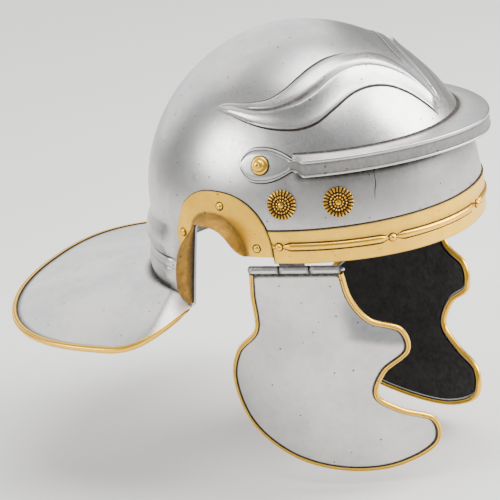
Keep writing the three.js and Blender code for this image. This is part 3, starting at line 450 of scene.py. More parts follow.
class Piece:
    """Points, faces and painted shade and dirt of one piece while it is being built."""

    def __init__(self):
        self.spots, self.faces, self.shade_and_dirt, self.aged = [], [], [], []
        self.count = 0

    def add(self, spots, faces, shade_and_dirt=0.0, aged=0.0):
        flat = np.asarray(spots, float).reshape(-1, 3)
        self.spots.append(flat)
        self.faces += [tuple(int(i) + self.count for i in face) for face in faces]
        for painted, value in ((self.shade_and_dirt, shade_and_dirt), (self.aged, aged)):
            painted.append(np.broadcast_to(np.asarray(value, float).reshape(-1), (len(flat),)))
        self.count += len(flat)
        return self

    def tube(self, rings, shade_and_dirt=0.0, aged=0.0, closed=False):
        """Rings of points joined into a closed solid, with flat ends unless it is closed."""
        rows, columns = rings.shape[:2]
        at = np.arange(rows * columns).reshape(rows, columns)
        if closed:
            at = np.vstack([at, at[:1]])
        across = np.roll(at, -1, axis=1)
        quads = np.stack([at[:-1], across[:-1], across[1:], at[1:]], -1).reshape(-1, 4)
        faces = [tuple(q) for q in quads]
        if not closed:
            faces += [tuple(at[0][::-1]), tuple(at[-1])]
        if volume(rings.reshape(-1, 3), faces) < 0:
            faces = [face[::-1] for face in faces]
        shape = (rows, columns)
        return self.add(rings, faces, np.broadcast_to(shade_and_dirt, shape), np.broadcast_to(aged, shape))

    def shell(self, outer, inner, shade_and_dirt, inner_shade_and_dirt):
        """A sheet between two grids of the same size, closed along its border."""
        rows, columns = outer.shape[:2]
        at = np.arange(rows * columns).reshape(rows, columns)
        far = at + rows * columns
        faces = quads_of(at) + [face[::-1] for face in quads_of(far)]
        border = [(at[0], far[0]), (far[-1], at[-1]), (far[:, 0], at[:, 0]),
                  (at[:, -1], far[:, -1])]
        for near, away in border:
            faces += [(near[i + 1], near[i], away[i], away[i + 1]) for i in range(len(near) - 1)]
        spots = np.concatenate([outer.reshape(-1, 3), inner.reshape(-1, 3)])
        if volume(spots, faces) < 0:
            faces = [face[::-1] for face in faces]
        shape = (rows, columns)
        painted = np.concatenate([np.broadcast_to(shade_and_dirt, shape).reshape(-1),
                                  np.broadcast_to(inner_shade_and_dirt, shape).reshape(-1)])
        return self.add(spots, faces, painted)

    def mirrored(self):
        """The same piece on the wearer's other side."""
        other = Piece()
        other.spots = [np.concatenate(self.spots) * (1, -1, 1)]
        other.faces = [face[::-1] for face in self.faces]
        other.shade_and_dirt, other.aged = list(self.shade_and_dirt), list(self.aged)
        other.count = self.count
        return other

    def finish(self, name, body, slot, *nodes):
        """Turns the piece into an object that rides on its body and stands for its nodes."""
        mesh = bpy.data.meshes.new(name)
        mesh.from_pydata(np.concatenate(self.spots).tolist(), [], self.faces)
        # Painted shade and dirt, and patina with painted reflection, kept on the points for the
        # finishes
        for label, painted in (("shade_and_dirt", self.shade_and_dirt), ("aged", self.aged)):
            attribute = mesh.attributes.new(label, "FLOAT", "POINT")
            attribute.data.foreach_set("value", np.concatenate(painted).astype(np.float32))
        mesh.shade_smooth()
        mesh.set_sharp_from_angle(angle=SHARP)
        mesh.materials.append(finish_of(slot))
        mesh.update()
        piece = bpy.data.objects.new(name, mesh)
        bpy.context.scene.collection.objects.link(piece)
        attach(piece, body)
        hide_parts(*nodes)


def quads_of(grid):
    return [tuple(q) for q in np.stack(
        [grid[:-1, :-1], grid[:-1, 1:], grid[1:, 1:], grid[1:, :-1]], -1).reshape(-1, 4)]


def volume(spots, faces):
    """Signed volume inside the faces, six times over."""
    total = 0.0
    by_size = {}
    for face in faces:
        by_size.setdefault(len(face), []).append(face)
    for same in by_size.values():
        corners = spots[np.array(same)]
        for k in range(1, corners.shape[1] - 1):
            total += np.einsum("ij,ij->", corners[:, 0],
                               np.cross(corners[:, k], corners[:, k + 1]))
    return total


def pair(piece, name, slot, body="helmet"):
    """Finishes a right-hand piece and its mirror image."""
    for side, made in (("right", piece), ("left", piece.mirrored())):
        rides = body if body == "helmet" else f"{body}_{side}"
        made.finish(f"{name}_{side}_fine", rides, slot, f"{name}_{side}")


# Surfaces of the helmet

class Form:
    """The helmet's surfaces, worked out from the sizes in the panel."""

    def __init__(self, scene):
        self.bowl, self.neck, self.ear = scene.helmet_bowl, scene.helmet_neck, scene.helmet_ear
        self.trim, self.cheek = scene.helmet_trim, scene.helmet_cheek
        bowl, ear = self.bowl, self.ear
        self.crown = bowl.wall_height + bowl.dome_height
        self.nape = np.array(NAPE_ROWS)
        self.root_turn = math.pi + float(self.wall_angle(self.neck.root_inset - ear.plate_back))
        self.band_start = ear.plate_front + self.trim.band_gap
        self.heel = ear.heel_lift - bowl.corner_depth
        wall = self.wall_point(self.cheek.hinge_forward, 0, 0)
        self.hinge = np.array([self.cheek.hinge_forward, wall[1] + bowl.sheet + GAP
                               + self.cheek.knuckle + self.cheek.set_back, -self.cheek.hinge_drop])
        self.hinge_along = unit(np.array([1, self.cheek.hinge_slope, 0]))
        self.guard_top = self.hinge[2] - self.cheek.knuckle - 0.45 * MM

    def plan_radius(self, angle, offset=0.0):
        """Radius of the rim's oval at an angle."""
        bowl = self.bowl
        along, across = np.cos(angle), np.sin(angle)
        reach = np.where(along > 0, bowl.front_reach, bowl.back_reach) + offset
        total = ((np.abs(along) / reach)**bowl.plan_power
                 + (np.abs(across) / (bowl.half_width + offset))**bowl.plan_power)
        return total**(-1 / bowl.plan_power)

    def dome_share(self, height, offset=0.0):
        """Share of the rim's radius that is left at a height."""
        bowl = self.bowl
        up = np.clip((np.asarray(height) - bowl.wall_height) / (bowl.dome_height + offset), 0, 1)
        return (1 - up**bowl.dome_power)**(1 / bowl.dome_power)

    def wall_angle(self, x, height=0.0):
        """Angle at which the right wall, at a height, reaches forward to x."""
        bowl, x = self.bowl, np.asarray(x, float)
        share_left = self.dome_share(height)
        reach = np.where(x > 0, bowl.front_reach, bowl.back_reach) * share_left
        flat = np.clip(np.abs(x) / reach, 0, 1)
        across = (1 - flat**bowl.plan_power)**(1 / bowl.plan_power)
        return -np.arctan2(bowl.half_width * share_left * across, x)

    def band_end(self, height):
        """Angle at which the band ends along the ear guard's edge."""
        ear = self.ear
        up = min(1.0, max(0.0, (height - ear.foot) / (ear.plate_top - ear.foot)))
        power = ear.plate_power
        reach = (ear.plate_front + ear.plate_middle) * (1 - up**power)**(1 / power)
        return -float(self.wall_angle(reach - ear.plate_middle + self.trim.band_gap))

    def band_rivets(self):
        """Angles of the band's rivets on the right side."""
        trim = self.trim
        side = self.wall_angle(self.band_start + trim.band_rivet_inset)
        return (0.0, float(side), float(self.wall_angle(trim.band_rivet_quarter)))

    def crease_height(self, from_back):
        """Height of the crease under the nape, by the angle from the back."""
        start = self.root_turn - self.bowl.rib_fade_from
        part = smooth(np.abs(from_back), start, self.root_turn)
        return -mix(self.bowl.nape_depth, self.bowl.corner_depth, part)

    def nape_down(self, from_back, height):
        """Share of the way from the ribs' top down to the crease."""
        top = self.bowl.nape_top
        return (top - height) / (top - self.crease_height(from_back))

    def nape_fade(self, from_back):
        """One on the nape and zero where its ribs have ended."""
        start, end = (self.root_turn - a for a in (self.bowl.rib_fade_from, self.bowl.rib_fade_to))
        return 1 - smooth(np.abs(from_back), start, end)

    def nape_out(self, from_back, height):
        """How far the ribs stand out of the bowl."""
        proud = np.interp(self.nape_down(from_back, height), self.nape[:, 0], self.nape[:, 1])
        return self.bowl.rib_proud * proud * self.nape_fade(from_back)

    def bowl_point(self, angle, height, offset=0.0):
        """Point of the bowl, or of the same form set out or in."""
        angle, height = np.broadcast_arrays(np.asarray(angle, float), np.asarray(height, float))
        radius = (self.plan_radius(angle, offset) * self.dome_share(height, offset)
                  + self.nape_out(math.pi - np.abs(angle), height))
        return np.stack([radius * np.cos(angle), radius * np.sin(angle), height], -1)

    def bowl_normal(self, angle, height):
        """Direction straight out of the bowl."""
        step, rise = 0.002, 0.2 * MM
        along = self.bowl_point(angle + step, height) - self.bowl_point(angle - step, height)
        up = self.bowl_point(angle, height + rise) - self.bowl_point(angle, height - rise)
        return unit(np.cross(along, up))

    def bowl_spot(self, angle, height, proud):
        """Point some way straight out of the bowl."""
        return (self.bowl_point(angle, height)
                + self.bowl_normal(angle, height) * np.asarray(proud)[..., None])

    def wall_point(self, x, height, offset=0.0):
        """Point off the right wall by its forward place and its height."""
        x, height, offset = np.broadcast_arrays(
            *(np.asarray(v, float) for v in (x, height, offset)))
        return self.bowl_spot(self.wall_angle(x, height), height, offset)

    # Ear guard

    def ear_rows(self):
        """Stations of the ear guard: bend, flange and outer edge of the plate."""
        ear = self.ear
        last = len(ARCH_ROWS) - 1
        rows = []
        for i, (back, up, out, droop) in enumerate(ARCH_ROWS):
            sweep = math.radians(mix(-2, 140, i / last))
            along, rise = math.cos(sweep), max(0.0, math.sin(sweep))
            power = 2 / ear.plate_power
            reach = (ear.plate_front + ear.plate_middle if along > 0
                     else ear.plate_back - ear.plate_middle)
            rows.append((-ear.arch_forward - back * ear.arch_depth, mix(ear.foot, ear.arch_top, up),
                         out * ear.flange_front, droop * ear.flange_front,
                         -ear.plate_middle + reach * math.copysign(abs(along)**power, along),
                         mix(ear.foot, ear.plate_top, rise**power)))
        x, z = rows[-1][:2]
        for down, out in LEG_ROWS:
            height = mix(z, self.heel, down)
            rows.append((mix(x, ear.heel_width - ear.plate_back, down), height,
                         out * ear.flange_back, 0, -ear.plate_back, height))
        return rows

    def rim_height(self, angle):
        """Height at which the skull's sheet ends, round the bowl."""
        bend = np.array(self.ear_rows())[:, :2]
        foot = [(self.band_start, self.bowl.rim_lift), (self.band_start - 0.1 * MM, self.ear.foot)]
        line = np.vstack([foot, bend])
        turns = -self.wall_angle(line[:, 0], line[:, 1])
        order = np.maximum.accumulate(turns + np.arange(len(turns)) * 1e-7)
        height = np.interp(np.abs(angle), order, line[:, 1])
        crease = self.crease_height(math.pi - np.abs(angle))
        behind = np.abs(angle) > order[-1]
        return np.where(behind, crease, height)

    # Neck guard

    def neck_edge(self, across_turn):
        """Outer edge of the neck guard, by the angle round its middle."""
        neck = self.neck
        centre = self.bowl.back_reach - neck.centre_inset
        half = self.bowl.half_width + neck.overhang
        along, across = np.cos(across_turn), np.sin(across_turn)
        power = 2 / neck.plan_power
        reach = np.where(along > 0, neck.reach_behind, neck.reach_ahead)
        x = -centre - np.sign(along) * reach * np.abs(along)**power
        y = -half * np.sign(across) * np.abs(across)**power
        past = (np.abs(across_turn) - math.pi / 2) / (neck.corner_angle - math.pi / 2)
        rise = np.maximum(0, past)**2
        drop = mix(mix(neck.middle_drop, neck.side_drop, (y / half)**2), neck.corner_drop, rise)
        return np.stack([x, y, -drop], -1)

    def neck_point(self, across_turn, out):
        """Point of the neck guard's top, from its root (0) to its edge (1)."""
        across_turn, out = np.broadcast_arrays(across_turn, out)
        from_back = across_turn / self.neck.corner_angle * self.root_turn
        angle = np.where(from_back >= 0, -1, 1) * (math.pi - np.abs(from_back))
        root = self.bowl_point(angle, self.crease_height(from_back), -0.6 * self.bowl.sheet)
        edge = self.neck_edge(across_turn)
        fall = (0.75 * out + 0.25 * out**2)[..., None]
        flat = mix(root, edge, out[..., None])
        flat[..., 2] = mix(root, edge, fall)[..., 2]
        return flat

    def neck_normal(self, across_turn, out):
        """Direction straight up out of the neck guard."""
        step = 0.01
        across = self.neck_point(across_turn + step, out) - self.neck_point(across_turn - step, out)
        along = self.neck_point(across_turn, out + step) - self.neck_point(across_turn, out - step)
        normal = unit(np.cross(along, across))
        return normal * np.where(normal[..., 2:] < 0, -1, 1)

    # Cheek guard

    def guard_face(self, x, z, inset=0.0):
        """Point of the right cheek guard's outer face, or some way inside it."""
        cheek = self.cheek
        along, down = x - self.hinge[0], np.maximum(0, self.hinge[2] - z)
        bow = cheek.bow * along**2 * np.clip(down / cheek.bow_fade, 0, 1)
        inwards = cheek.hinge_slope * along + cheek.lean * down + cheek.curl * down**2 + bow
        return np.stack(np.broadcast_arrays(x, self.hinge[1] - GAP + inwards + inset, z), -1)

    def guard_normal(self, x, z):
        """Direction straight out of the right cheek guard."""
        step = 0.5 * MM
        normal = np.cross(self.guard_face(x + step, z) - self.guard_face(x - step, z),
                          self.guard_face(x, z + step) - self.guard_face(x, z - step))
        normal = unit(normal)
        return normal * np.where(normal[..., 1:2] > 0, -1, 1)

    def guard_outline(self, count):
        """Outline of the guard from the hinge's rear end round to its front end."""
        cheek = self.cheek
        half = cheek.hinge_length / 2 - 0.8 * MM
        rows = [(-half, 0), (GUARD_REAR[0] * cheek.hinge_length, GUARD_REAR[1])]
        rows += [(along * cheek.length, down) for along, down in GUARD_ROWS]
        rows += [(GUARD_FRONT[0] * cheek.hinge_length, GUARD_FRONT[1]), (half, 0)]
        spots = [(self.hinge[0] + along, self.guard_top - down * cheek.height)
                 for along, down in rows]
        return curve_through(spots, count)

    def hinge_spot(self, along, up=0.0):
        """Point along the right hinge's pin, or some way above it."""
        along, up = np.broadcast_arrays(np.asarray(along, float), np.asarray(up, float))
        raised = np.array([0, 0, 1]) * up[..., None]
        return self.hinge + self.hinge_along * along[..., None] + raised


# Finishes

class Wiring:
    """Adds nodes to a tree and links them."""

    def __init__(self, tree):
        self.tree = tree

    def add(self, kind, inputs=None, **settings):
        made = self.tree.nodes.new(kind)
        for key, value in settings.items():
            setattr(made, key, value)
        for key, value in (inputs or {}).items():
            socket = made.inputs[key]
            if isinstance(value, bpy.types.NodeSocket):
                self.join(value, socket)
            else:
                socket.default_value = value
        return made

    def join(self, value, socket):
        self.tree.links.new(value, socket)

    def math(self, operation, a, b, clamp=False):
        made = self.add("ShaderNodeMath", {0: a, 1: b}, operation=operation, use_clamp=clamp)
        return made.outputs[0]

    def blend(self, factor, a, b):
        return self.add("ShaderNodeMix", {0: factor, 6: a, 7: b}, data_type="RGBA").outputs[2]

    def band(self, value, low, high, start=0.0, end=1.0):
        return self.add("ShaderNodeMapRange", {"Value": value, "From Min": low, "From Max": high,
                                               "To Min": start, "To Max": end}).outputs[0]

    def noise(self, where, scale, detail=3.0, rough=0.55):
        return self.add("ShaderNodeTexNoise", {"Vector": where, "Scale": scale, "Detail": detail,
                                               "Roughness": rough}).outputs[0]


def effect(name, inputs, outputs):
    """The wiring, entry and exit of a new node group with the given sockets."""
    tree = bpy.data.node_groups.new(name, "ShaderNodeTree")
    kinds = {"value": "NodeSocketFloat", "colour": "NodeSocketColor", "vector": "NodeSocketVector"}
    for label, kind, default in inputs:
        socket = tree.interface.new_socket(label, in_out="INPUT", socket_type=kinds[kind])
        socket.default_value = default
    for label, kind in outputs:
        tree.interface.new_socket(label, in_out="OUTPUT", socket_type=kinds[kind])
    return Wiring(tree), tree.nodes.new("NodeGroupInput"), tree.nodes.new("NodeGroupOutput")


def mottle_effect():
    """Soft patches of a second colour."""
    w, start, end = effect("Mottle", [
        ("Clean", "colour", (1, 1, 1, 1)), ("Dull", "colour", (0.5, 0.5, 0.5, 1)),
        ("Scale", "value", 40.0), ("Amount", "value", 0.5)],
        [("Color", "colour"), ("Mask", "value")])
    where = w.add("ShaderNodeTexCoord").outputs["Object"]
    broad = w.noise(where, start.outputs["Scale"], 4.0, 0.6)
    fine = w.noise(where, w.math("MULTIPLY", start.outputs["Scale"], 6.0), 3.0, 0.6)
    both = w.math("ADD", w.math("MULTIPLY", broad, 0.7), w.math("MULTIPLY", fine, 0.3))
    mask = w.math("MULTIPLY", w.band(both, 0.42, 0.62), start.outputs["Amount"], True)
    w.join(mask, end.inputs["Mask"])
    colour = w.blend(mask, start.outputs["Clean"], start.outputs["Dull"])
    w.join(colour, end.inputs["Color"])


def pits_effect():
    """Small scattered pits: a mask of their places and a height that sinks in them."""
    w, start, end = effect("Pits", [
        ("Scale", "value", 260.0), ("Radius", "value", 0.16), ("Share", "value", 0.12)],
        [("Mask", "value"), ("Height", "value")])
    where = w.add("ShaderNodeTexCoord").outputs["Object"]
    wobble = w.add("ShaderNodeTexNoise", {"Vector": where, "Scale": 700.0}).outputs["Color"]
    shift = w.add("ShaderNodeVectorMath", {0: wobble, "Scale": 0.0012}, operation="SCALE")
    bent = w.add("ShaderNodeVectorMath", {0: where, 1: shift.outputs[0]},
                 operation="ADD").outputs[0]
    cells = w.add("ShaderNodeTexVoronoi", {"Vector": bent, "Scale": start.outputs["Scale"]})
    near = w.math("LESS_THAN", cells.outputs["Distance"], start.outputs["Radius"])
    pick = w.add("ShaderNodeSeparateColor", {0: cells.outputs["Color"]}).outputs[0]
    chosen = w.math("LESS_THAN", pick, start.outputs["Share"])
    mask = w.math("MULTIPLY", near, chosen)
    w.join(mask, end.inputs["Mask"])
    w.join(w.math("SUBTRACT", 1.0, mask), end.inputs["Height"])


def shade_and_dirt_effect():
    """Painted shade and dirt, broken up by noise, laid over a colour and a roughness."""
    w, start, end = effect("Dirt", [
        ("Color", "colour", (1, 1, 1, 1)), ("Roughness", "value", 0.4),
        ("Dirt", "colour", (0, 0, 0, 1)), ("Break up", "value", 0.4)],
        [("Color", "colour"), ("Roughness", "value"), ("Mask", "value")])
    where = w.add("ShaderNodeTexCoord").outputs["Object"]
    # How much painted shade (and dirt) each point carries
    painted = w.add("ShaderNodeAttribute", attribute_name="shade_and_dirt").outputs["Fac"]
    loose = w.math("SUBTRACT", w.noise(where, 420.0), 0.5)
    shaken = w.math("ADD", painted, w.math("MULTIPLY", w.math("MULTIPLY", loose, painted),
                                           start.outputs["Break up"]), True)
    w.join(shaken, end.inputs["Mask"])
    colour = w.blend(shaken, start.outputs["Color"], start.outputs["Dirt"])
    w.join(colour, end.inputs["Color"])
    rough = w.math("ADD", start.outputs["Roughness"], w.math("MULTIPLY", shaken, 0.4), True)
    w.join(rough, end.inputs["Roughness"])


def work_effect():
    """Height of hammering, brushing and fine grain."""
    w, start, end = effect("Worked metal", [
        ("Hammer", "value", 1.0), ("Brush", "value", 1.0), ("Grain", "value", 1.0)],
        [("Height", "value"), ("Streaks", "value")])
    where = w.add("ShaderNodeTexCoord").outputs["Object"]
    hammer = w.noise(where, 55.0, 1.0, 0.4)
    drawn = w.add("ShaderNodeMapping", {"Vector": where, "Scale": (900.0, 900.0, 60.0)}).outputs[0]
    brush = w.noise(drawn, 1.0, 3.0, 0.65)
    grain = w.noise(where, 1500.0, 2.0, 0.6)
    height = w.math("ADD", w.math("MULTIPLY", hammer, start.outputs["Hammer"]), w.math(
        "ADD", w.math("MULTIPLY", brush, start.outputs["Brush"]),
        w.math("MULTIPLY", grain, start.outputs["Grain"])))
    w.join(height, end.inputs["Height"])
    w.join(brush, end.inputs["Streaks"])


def place(w, name, **values):
    """A node group placed in a material with its own values."""
    return w.add("ShaderNodeGroup", values, node_tree=bpy.data.node_groups[name])


def shaded(name):
    """A new material, with its wiring and its shader."""
    material = bpy.data.materials.new(name)
    material.use_nodes = True
    tree = material.node_tree
    return material, Wiring(tree), tree.nodes["Principled BSDF"]


def metal(name, finish, colours):
    """A worked metal: patches, pits, painted shade and dirt, and a hammered, brushed surface."""
    *keys, rough, mottle, work, pits, least = finish
    clean, dull, patina, shade_and_dirt = ((*getattr(colours, key), 1) for key in (*keys, "shade_and_dirt"))
    material, w, shader = shaded(name)
    shader.inputs["Metallic"].default_value = 1.0
    patches = place(w, "Mottle", Clean=clean, Dull=dull, Scale=mottle[0], Amount=mottle[1])
    colour = patches.outputs["Color"]
    spots = place(w, "Mottle", Clean=(0, 0, 0, 1), Dull=(1, 1, 1, 1), Scale=160.0, Amount=1.0)
    # Brass patina, and on the iron cheek guards a painted dark reflection
    painted = w.add("ShaderNodeAttribute", attribute_name="aged").outputs["Fac"]
    spread = w.math("MULTIPLY", painted, w.band(spots.outputs["Mask"], 0, 1, least, 1.0), True)
    colour = w.blend(spread, colour, patina)
    holes = place(w, "Pits", Scale=pits[0], Radius=pits[1], Share=pits[2])
    colour = w.blend(w.math("MULTIPLY", holes.outputs["Mask"], 0.75), colour, shade_and_dirt)
    worked = place(w, "Worked metal", Hammer=work[0], Brush=work[1], Grain=work[2])
    uneven = w.math("ADD", w.math("MULTIPLY", patches.outputs["Mask"], 0.12), w.band(
        worked.outputs["Streaks"], 0.3, 0.7, rough - 0.04, rough + 0.05))
    painted_shade_and_dirt = place(w, "Dirt", Color=colour, Roughness=uneven, Dirt=shade_and_dirt)
    w.join(painted_shade_and_dirt.outputs["Color"], shader.inputs["Base Color"])
    w.join(painted_shade_and_dirt.outputs["Roughness"], shader.inputs["Roughness"])
    # Where shade is painted the metal is also made less metallic
    shine = w.math("SUBTRACT", 1.0, w.math("MULTIPLY", painted_shade_and_dirt.outputs["Mask"], 0.7))
    w.join(shine, shader.inputs["Metallic"])
    sunk = w.math("MULTIPLY", holes.outputs["Height"], 0.5)
    height = w.math("ADD", worked.outputs["Height"], sunk)
    bump = w.add("ShaderNodeBump", {"Height": height, "Strength": 0.35, "Distance": 0.0006})
    w.join(bump.outputs[0], shader.inputs["Normal"])
    return material


def leather_finish(name, colour):
    """Black lining leather with a fine grain."""
    material, w, shader = shaded(name)
    shader.inputs["Specular IOR Level"].default_value = 0.35
    patches = place(w, "Mottle", Clean=(*colour, 1), Dull=(*(c * 2.2 for c in colour), 1),
                    Scale=70.0, Amount=0.8)
    where = w.add("ShaderNodeTexCoord").outputs["Object"]
    grain = w.add("ShaderNodeTexVoronoi", {"Vector": where, "Scale": 620.0}).outputs["Distance"]
    soft = w.noise(where, 260.0, 4.0)
    height = w.math("ADD", w.math("MULTIPLY", grain, 0.6), w.math("MULTIPLY", soft, 0.7))
    bump = w.add("ShaderNodeBump", {"Height": height, "Strength": 0.5, "Distance": 0.0005})
    w.join(patches.outputs["Color"], shader.inputs["Base Color"])
    w.join(w.band(soft, 0.3, 0.7, 0.5, 0.8), shader.inputs["Roughness"])
    w.join(bump.outputs[0], shader.inputs["Normal"])
    return material


def finish_of(slot):
    """The finish of a slot, made when it is first asked for."""
    label = "helmet " + slot.replace("lining_", "").replace("_", " ")
    made = bpy.data.materials.get(label)
    if made:
        return made
    if "Mottle" not in bpy.data.node_groups:
        for build in (mottle_effect, pits_effect, shade_and_dirt_effect, work_effect):
            build()
    colours = bpy.context.scene.helmet_finish
    if slot in METALS:
        return metal(label, METALS[slot], colours)
    return leather_finish(label, colours.leather)


# Operators, one for each piece or group of like pieces

class HelmetStep:
    """What the operators share."""
    bl_options = {"REGISTER", "UNDO"}

    def execute(self, context):
        self.build(context, Form(context.scene))
        return {"FINISHED"}


class HELMET_OT_skull(HelmetStep, bpy.types.Operator):
    """Builds the skull with its ribbed nape"""
    bl_idname = "helmet.skull"
    bl_label = "Skull"

    def build(self, context, form):
        bowl = form.bowl
        angles = self.columns(form)
        low = form.rim_height(angles)
        outer = self.rings(form, angles, low, 0.0, 1)
        inner = self.rings(form, angles, low, -bowl.sheet, 3)
        crown = np.array([[0, 0, form.crown], [0, 0, form.crown - bowl.sheet]])
        count = len(angles)
        rows_out, rows_in = len(outer), len(inner)
        at = np.arange(rows_out * count).reshape(rows_out, count)
        far = rows_out * count + np.arange(rows_in * count).reshape(rows_in, count)
        at, far = (np.hstack([grid, grid[:, :1]]) for grid in (at, far))
        top = (rows_out + rows_in) * count
        faces = quads_of(at) + [face[::-1] for face in quads_of(far)]
        for i in range(count):
            faces.append((at[-1, i], at[-1, i + 1], top))
            faces.append((far[-1, i + 1], far[-1, i], top + 1))
            faces.append((at[0, i + 1], at[0, i], far[0, i], far[0, i + 1]))
        spots = np.concatenate([outer.reshape(-1, 3), inner.reshape(-1, 3), crown])
        if volume(spots, faces) < 0:
            faces = [face[::-1] for face in faces]
        # The sheet's inside is evenly darkened with painted shade
        shade_and_dirt = np.concatenate([self.shade_and_dirt(form, angles, outer).reshape(-1),
                               np.full(rows_in * count + 2, 0.25)])
        piece = Piece().add(spots, faces, shade_and_dirt)
        self.crack(piece, form)
        piece.finish("bowl_skull", "helmet", "iron", "bowl")

    def crack(self, piece, form):
        """A dark hairline laid on the wall."""
        rows = np.array(CRACK)
        line = curve_through(np.stack([np.radians(rows[:, 0]) * CRACK_TURN, rows[:, 1]], -1), 24)
        half = CRACK_HALF * np.sin(np.linspace(0.25, math.pi - 0.2, len(line)))
        sides = np.array([(-1, -0.3), (-1, 0.05), (1, 0.05), (1, -0.3)])
        angle = line[:, :1] / CRACK_TURN + half[:, None] * sides[:, 0][None, :]
        rings = form.bowl_spot(angle, line[:, 1:] * MM * np.ones((1, 4)),
                               np.ones_like(angle) * sides[:, 1][None, :] * MM)
        piece.tube(rings, 1.0)

    def columns(self, form):
        """Angles round the bowl, closer together at the ends of the ear arches."""
        even = np.linspace(0, math.pi, 2000)
        places = form.ear_rows()
        dense = np.ones_like(even)
        for row in (places[0], places[-6]):
            middle = -float(form.wall_angle(row[0], row[1]))
            dense += 3 * np.exp(-((even - middle) / 0.06)**2)
        run = np.cumsum(dense)
        half = np.interp(np.linspace(run[0], run[-1], HALF_COLUMNS), run, even)
        return np.concatenate([half, -half[-2:0:-1]])

    def rings(self, form, angles, low, offset, skip):
        """Rings from the rim to near the crown; the sheet's inside skips some of them."""
        bowl = form.bowl
        span = BLEND_TOP + bowl.nape_depth
        shares = [np.linspace(a, b, n, endpoint=False) for a, b, n in WALL_ROWS]
        downs = np.concatenate(shares)
        depth = bowl.nape_top + bowl.nape_depth
        rises = np.concatenate([depth * (1 - downs) / span,
                                np.linspace(depth / span, 1, BLEND_ROWS, endpoint=False)])
        walls = [form.bowl_point(angles, mix(low, BLEND_TOP, t), offset) for t in rises[::skip]]
        tall = bowl.dome_height + offset
        start = math.asin(((BLEND_TOP - bowl.wall_height) / tall)**(bowl.dome_power / 2))
        turns = np.linspace(start, math.pi / 2, DOME_ROWS // skip + 1)[:-1]
        heights = bowl.wall_height + tall * np.sin(turns)**(2 / bowl.dome_power)
        domes = [form.bowl_point(angles, np.full_like(angles, h), offset) for h in heights]
        return np.array(walls + domes)

    def shade_and_dirt(self, form, angles, outer):
        """Painted shade in the grooves and the crease of the nape, and painted shadow under the
        peak.
        """
        from_back = math.pi - np.abs(angles)[None, :]
        height = outer[..., 2]
        down = form.nape_down(from_back, height)
        fade = form.nape_fade(from_back)
        painted = np.zeros_like(height)
        for groove, width, weight in NAPE_GROOVES:
            near = np.clip(1 - np.abs(down - groove) / width, 0, 1)
            painted = np.maximum(painted, weight * fade * near)
        crease = fade * smooth(down, 0.83, 0.96)
        ahead = smooth(WALL_SHADE_TURN - np.abs(angles)[None, :], 0, 0.12)
        shade = WALL_SHADE_LEAST + sum(
            weight * smooth(height, start, end) for start, end, weight in WALL_SHADE)
        shade = np.where(height < WALL_SHADE_TOP, ahead, 0) * shade
        painted = np.maximum(painted, shade * smooth(height, *WALL_SHADE_FADE))
        return np.minimum(1, np.maximum(painted, np.where(height < 0, crease, 0)))


class HELMET_OT_brows(HelmetStep, bpy.types.Operator):
    """Builds the embossed eyebrows"""
    bl_idname = "helmet.brows"
    bl_label = "Eyebrows"

    def build(self, context, form):
        peak, crown = form.trim.peak_height, form.crown
        rows = np.array(BROW_ROWS, float)
        rows[:, 0::2] = -np.radians(rows[:, 0::2])
        rows[:, 1::2] = mix(peak, crown, rows[:, 1::2])
        scaled = rows.copy()
        scaled[:, 0::2] *= TURN_WEIGHT
        line = curve_through(scaled, BROW_POINTS)
        line[:, 0::2] /= TURN_WEIGHT
        for side, (flat, upper_ends) in BROW_SIDES.items():
            piece = self.brow(form, line, flat, upper_ends)
            if side == "left":
                piece = piece.mirrored()
            piece.finish(f"bowl_brow_{side}", "helmet", "iron", "bowl")

    def brow(self, form, line, flat, upper_ends):
        """One eyebrow: its front end flattened by a share, its top line's painted shade fading out.
        """
        section = np.array(BROW_SECTION)
        part = section[:, 0][None, :]
        ends = np.linspace(0, 1, len(line))[:, None]
        turned = -np.degrees(line[:, :1])
        taper = smooth(np.minimum(ends * 14, (1 - ends) * 30), 0, 1)
        taper = taper * (1 - flat * smooth(40 - turned, 0, 28))
        lift = section[:, 1][None, :] * MM
        proud = np.where(lift > 0.1 * MM, lift * taper + 0.07 * MM, lift)
        top = form.bowl_spot(self.across(line, 0, part), self.across(line, 1, part), proud)
        under = np.array([1.6, 1.2, 0.8, 0.4])[None, :]
        base = form.bowl_spot(self.across(line, 0, under), self.across(line, 1, under),
                              np.full((len(line), under.shape[1]), -0.9 * MM))
        # Painted shade along the top line, in the groove above the ridge and at the low line's step
        painted = section[:, 2][None, :]
        upper = painted * smooth(turned, *upper_ends)
        groove = painted * smooth(ends, 0.02, 0.2) * (1 - 0.8 * smooth(ends, 0.4, 0.75))
        shade_and_dirt = np.where(part < 0.2, upper, np.where(part < 0.93, groove, painted))
        shade_and_dirt = np.concatenate([shade_and_dirt, np.zeros((len(line), under.shape[1]))], axis=1)
        return Piece().tube(np.concatenate([top, base], axis=1), shade_and_dirt)

    def across(self, line, column, part):
        """Angle (0) or height (1) from the top line (0) over the ridge (1) to the low line (2)."""
        top, ridge, low = (line[:, column + k:column + k + 1] for k in (0, 2, 4))
        return np.where(part <= 1, mix(top, ridge, part), mix(ridge, low, part - 1))


class HELMET_OT_neck_guard(HelmetStep, bpy.types.Operator):
    """Builds the neck guard"""
    bl_idname = "helmet.neck_guard"
    bl_label = "Neck guard"

    def build(self, context, form):
        neck = form.neck
        turns = np.linspace(-1, 1, NECK_COLUMNS)[:, None] * neck.corner_angle
        near, far = np.linspace(0, 0.12, 12, endpoint=False), np.linspace(0.12, 1, 32)
        out = np.concatenate([near, far])[None, :]
        top = form.neck_point(turns, out)
        low = top - form.neck_normal(turns, out) * neck.sheet
        # Painted shade in the crease at the root, under the edging and on the underside
        root, edge = smooth(out, 0.1, 0.02), 0.9 * smooth(out, 0.95, 0.968)
        shade_and_dirt = np.maximum(root, edge) * np.ones_like(turns)
        piece = Piece().shell(top, low, shade_and_dirt, 0.2)
        piece.finish("bowl_neck_guard", "helmet", "iron", "bowl")


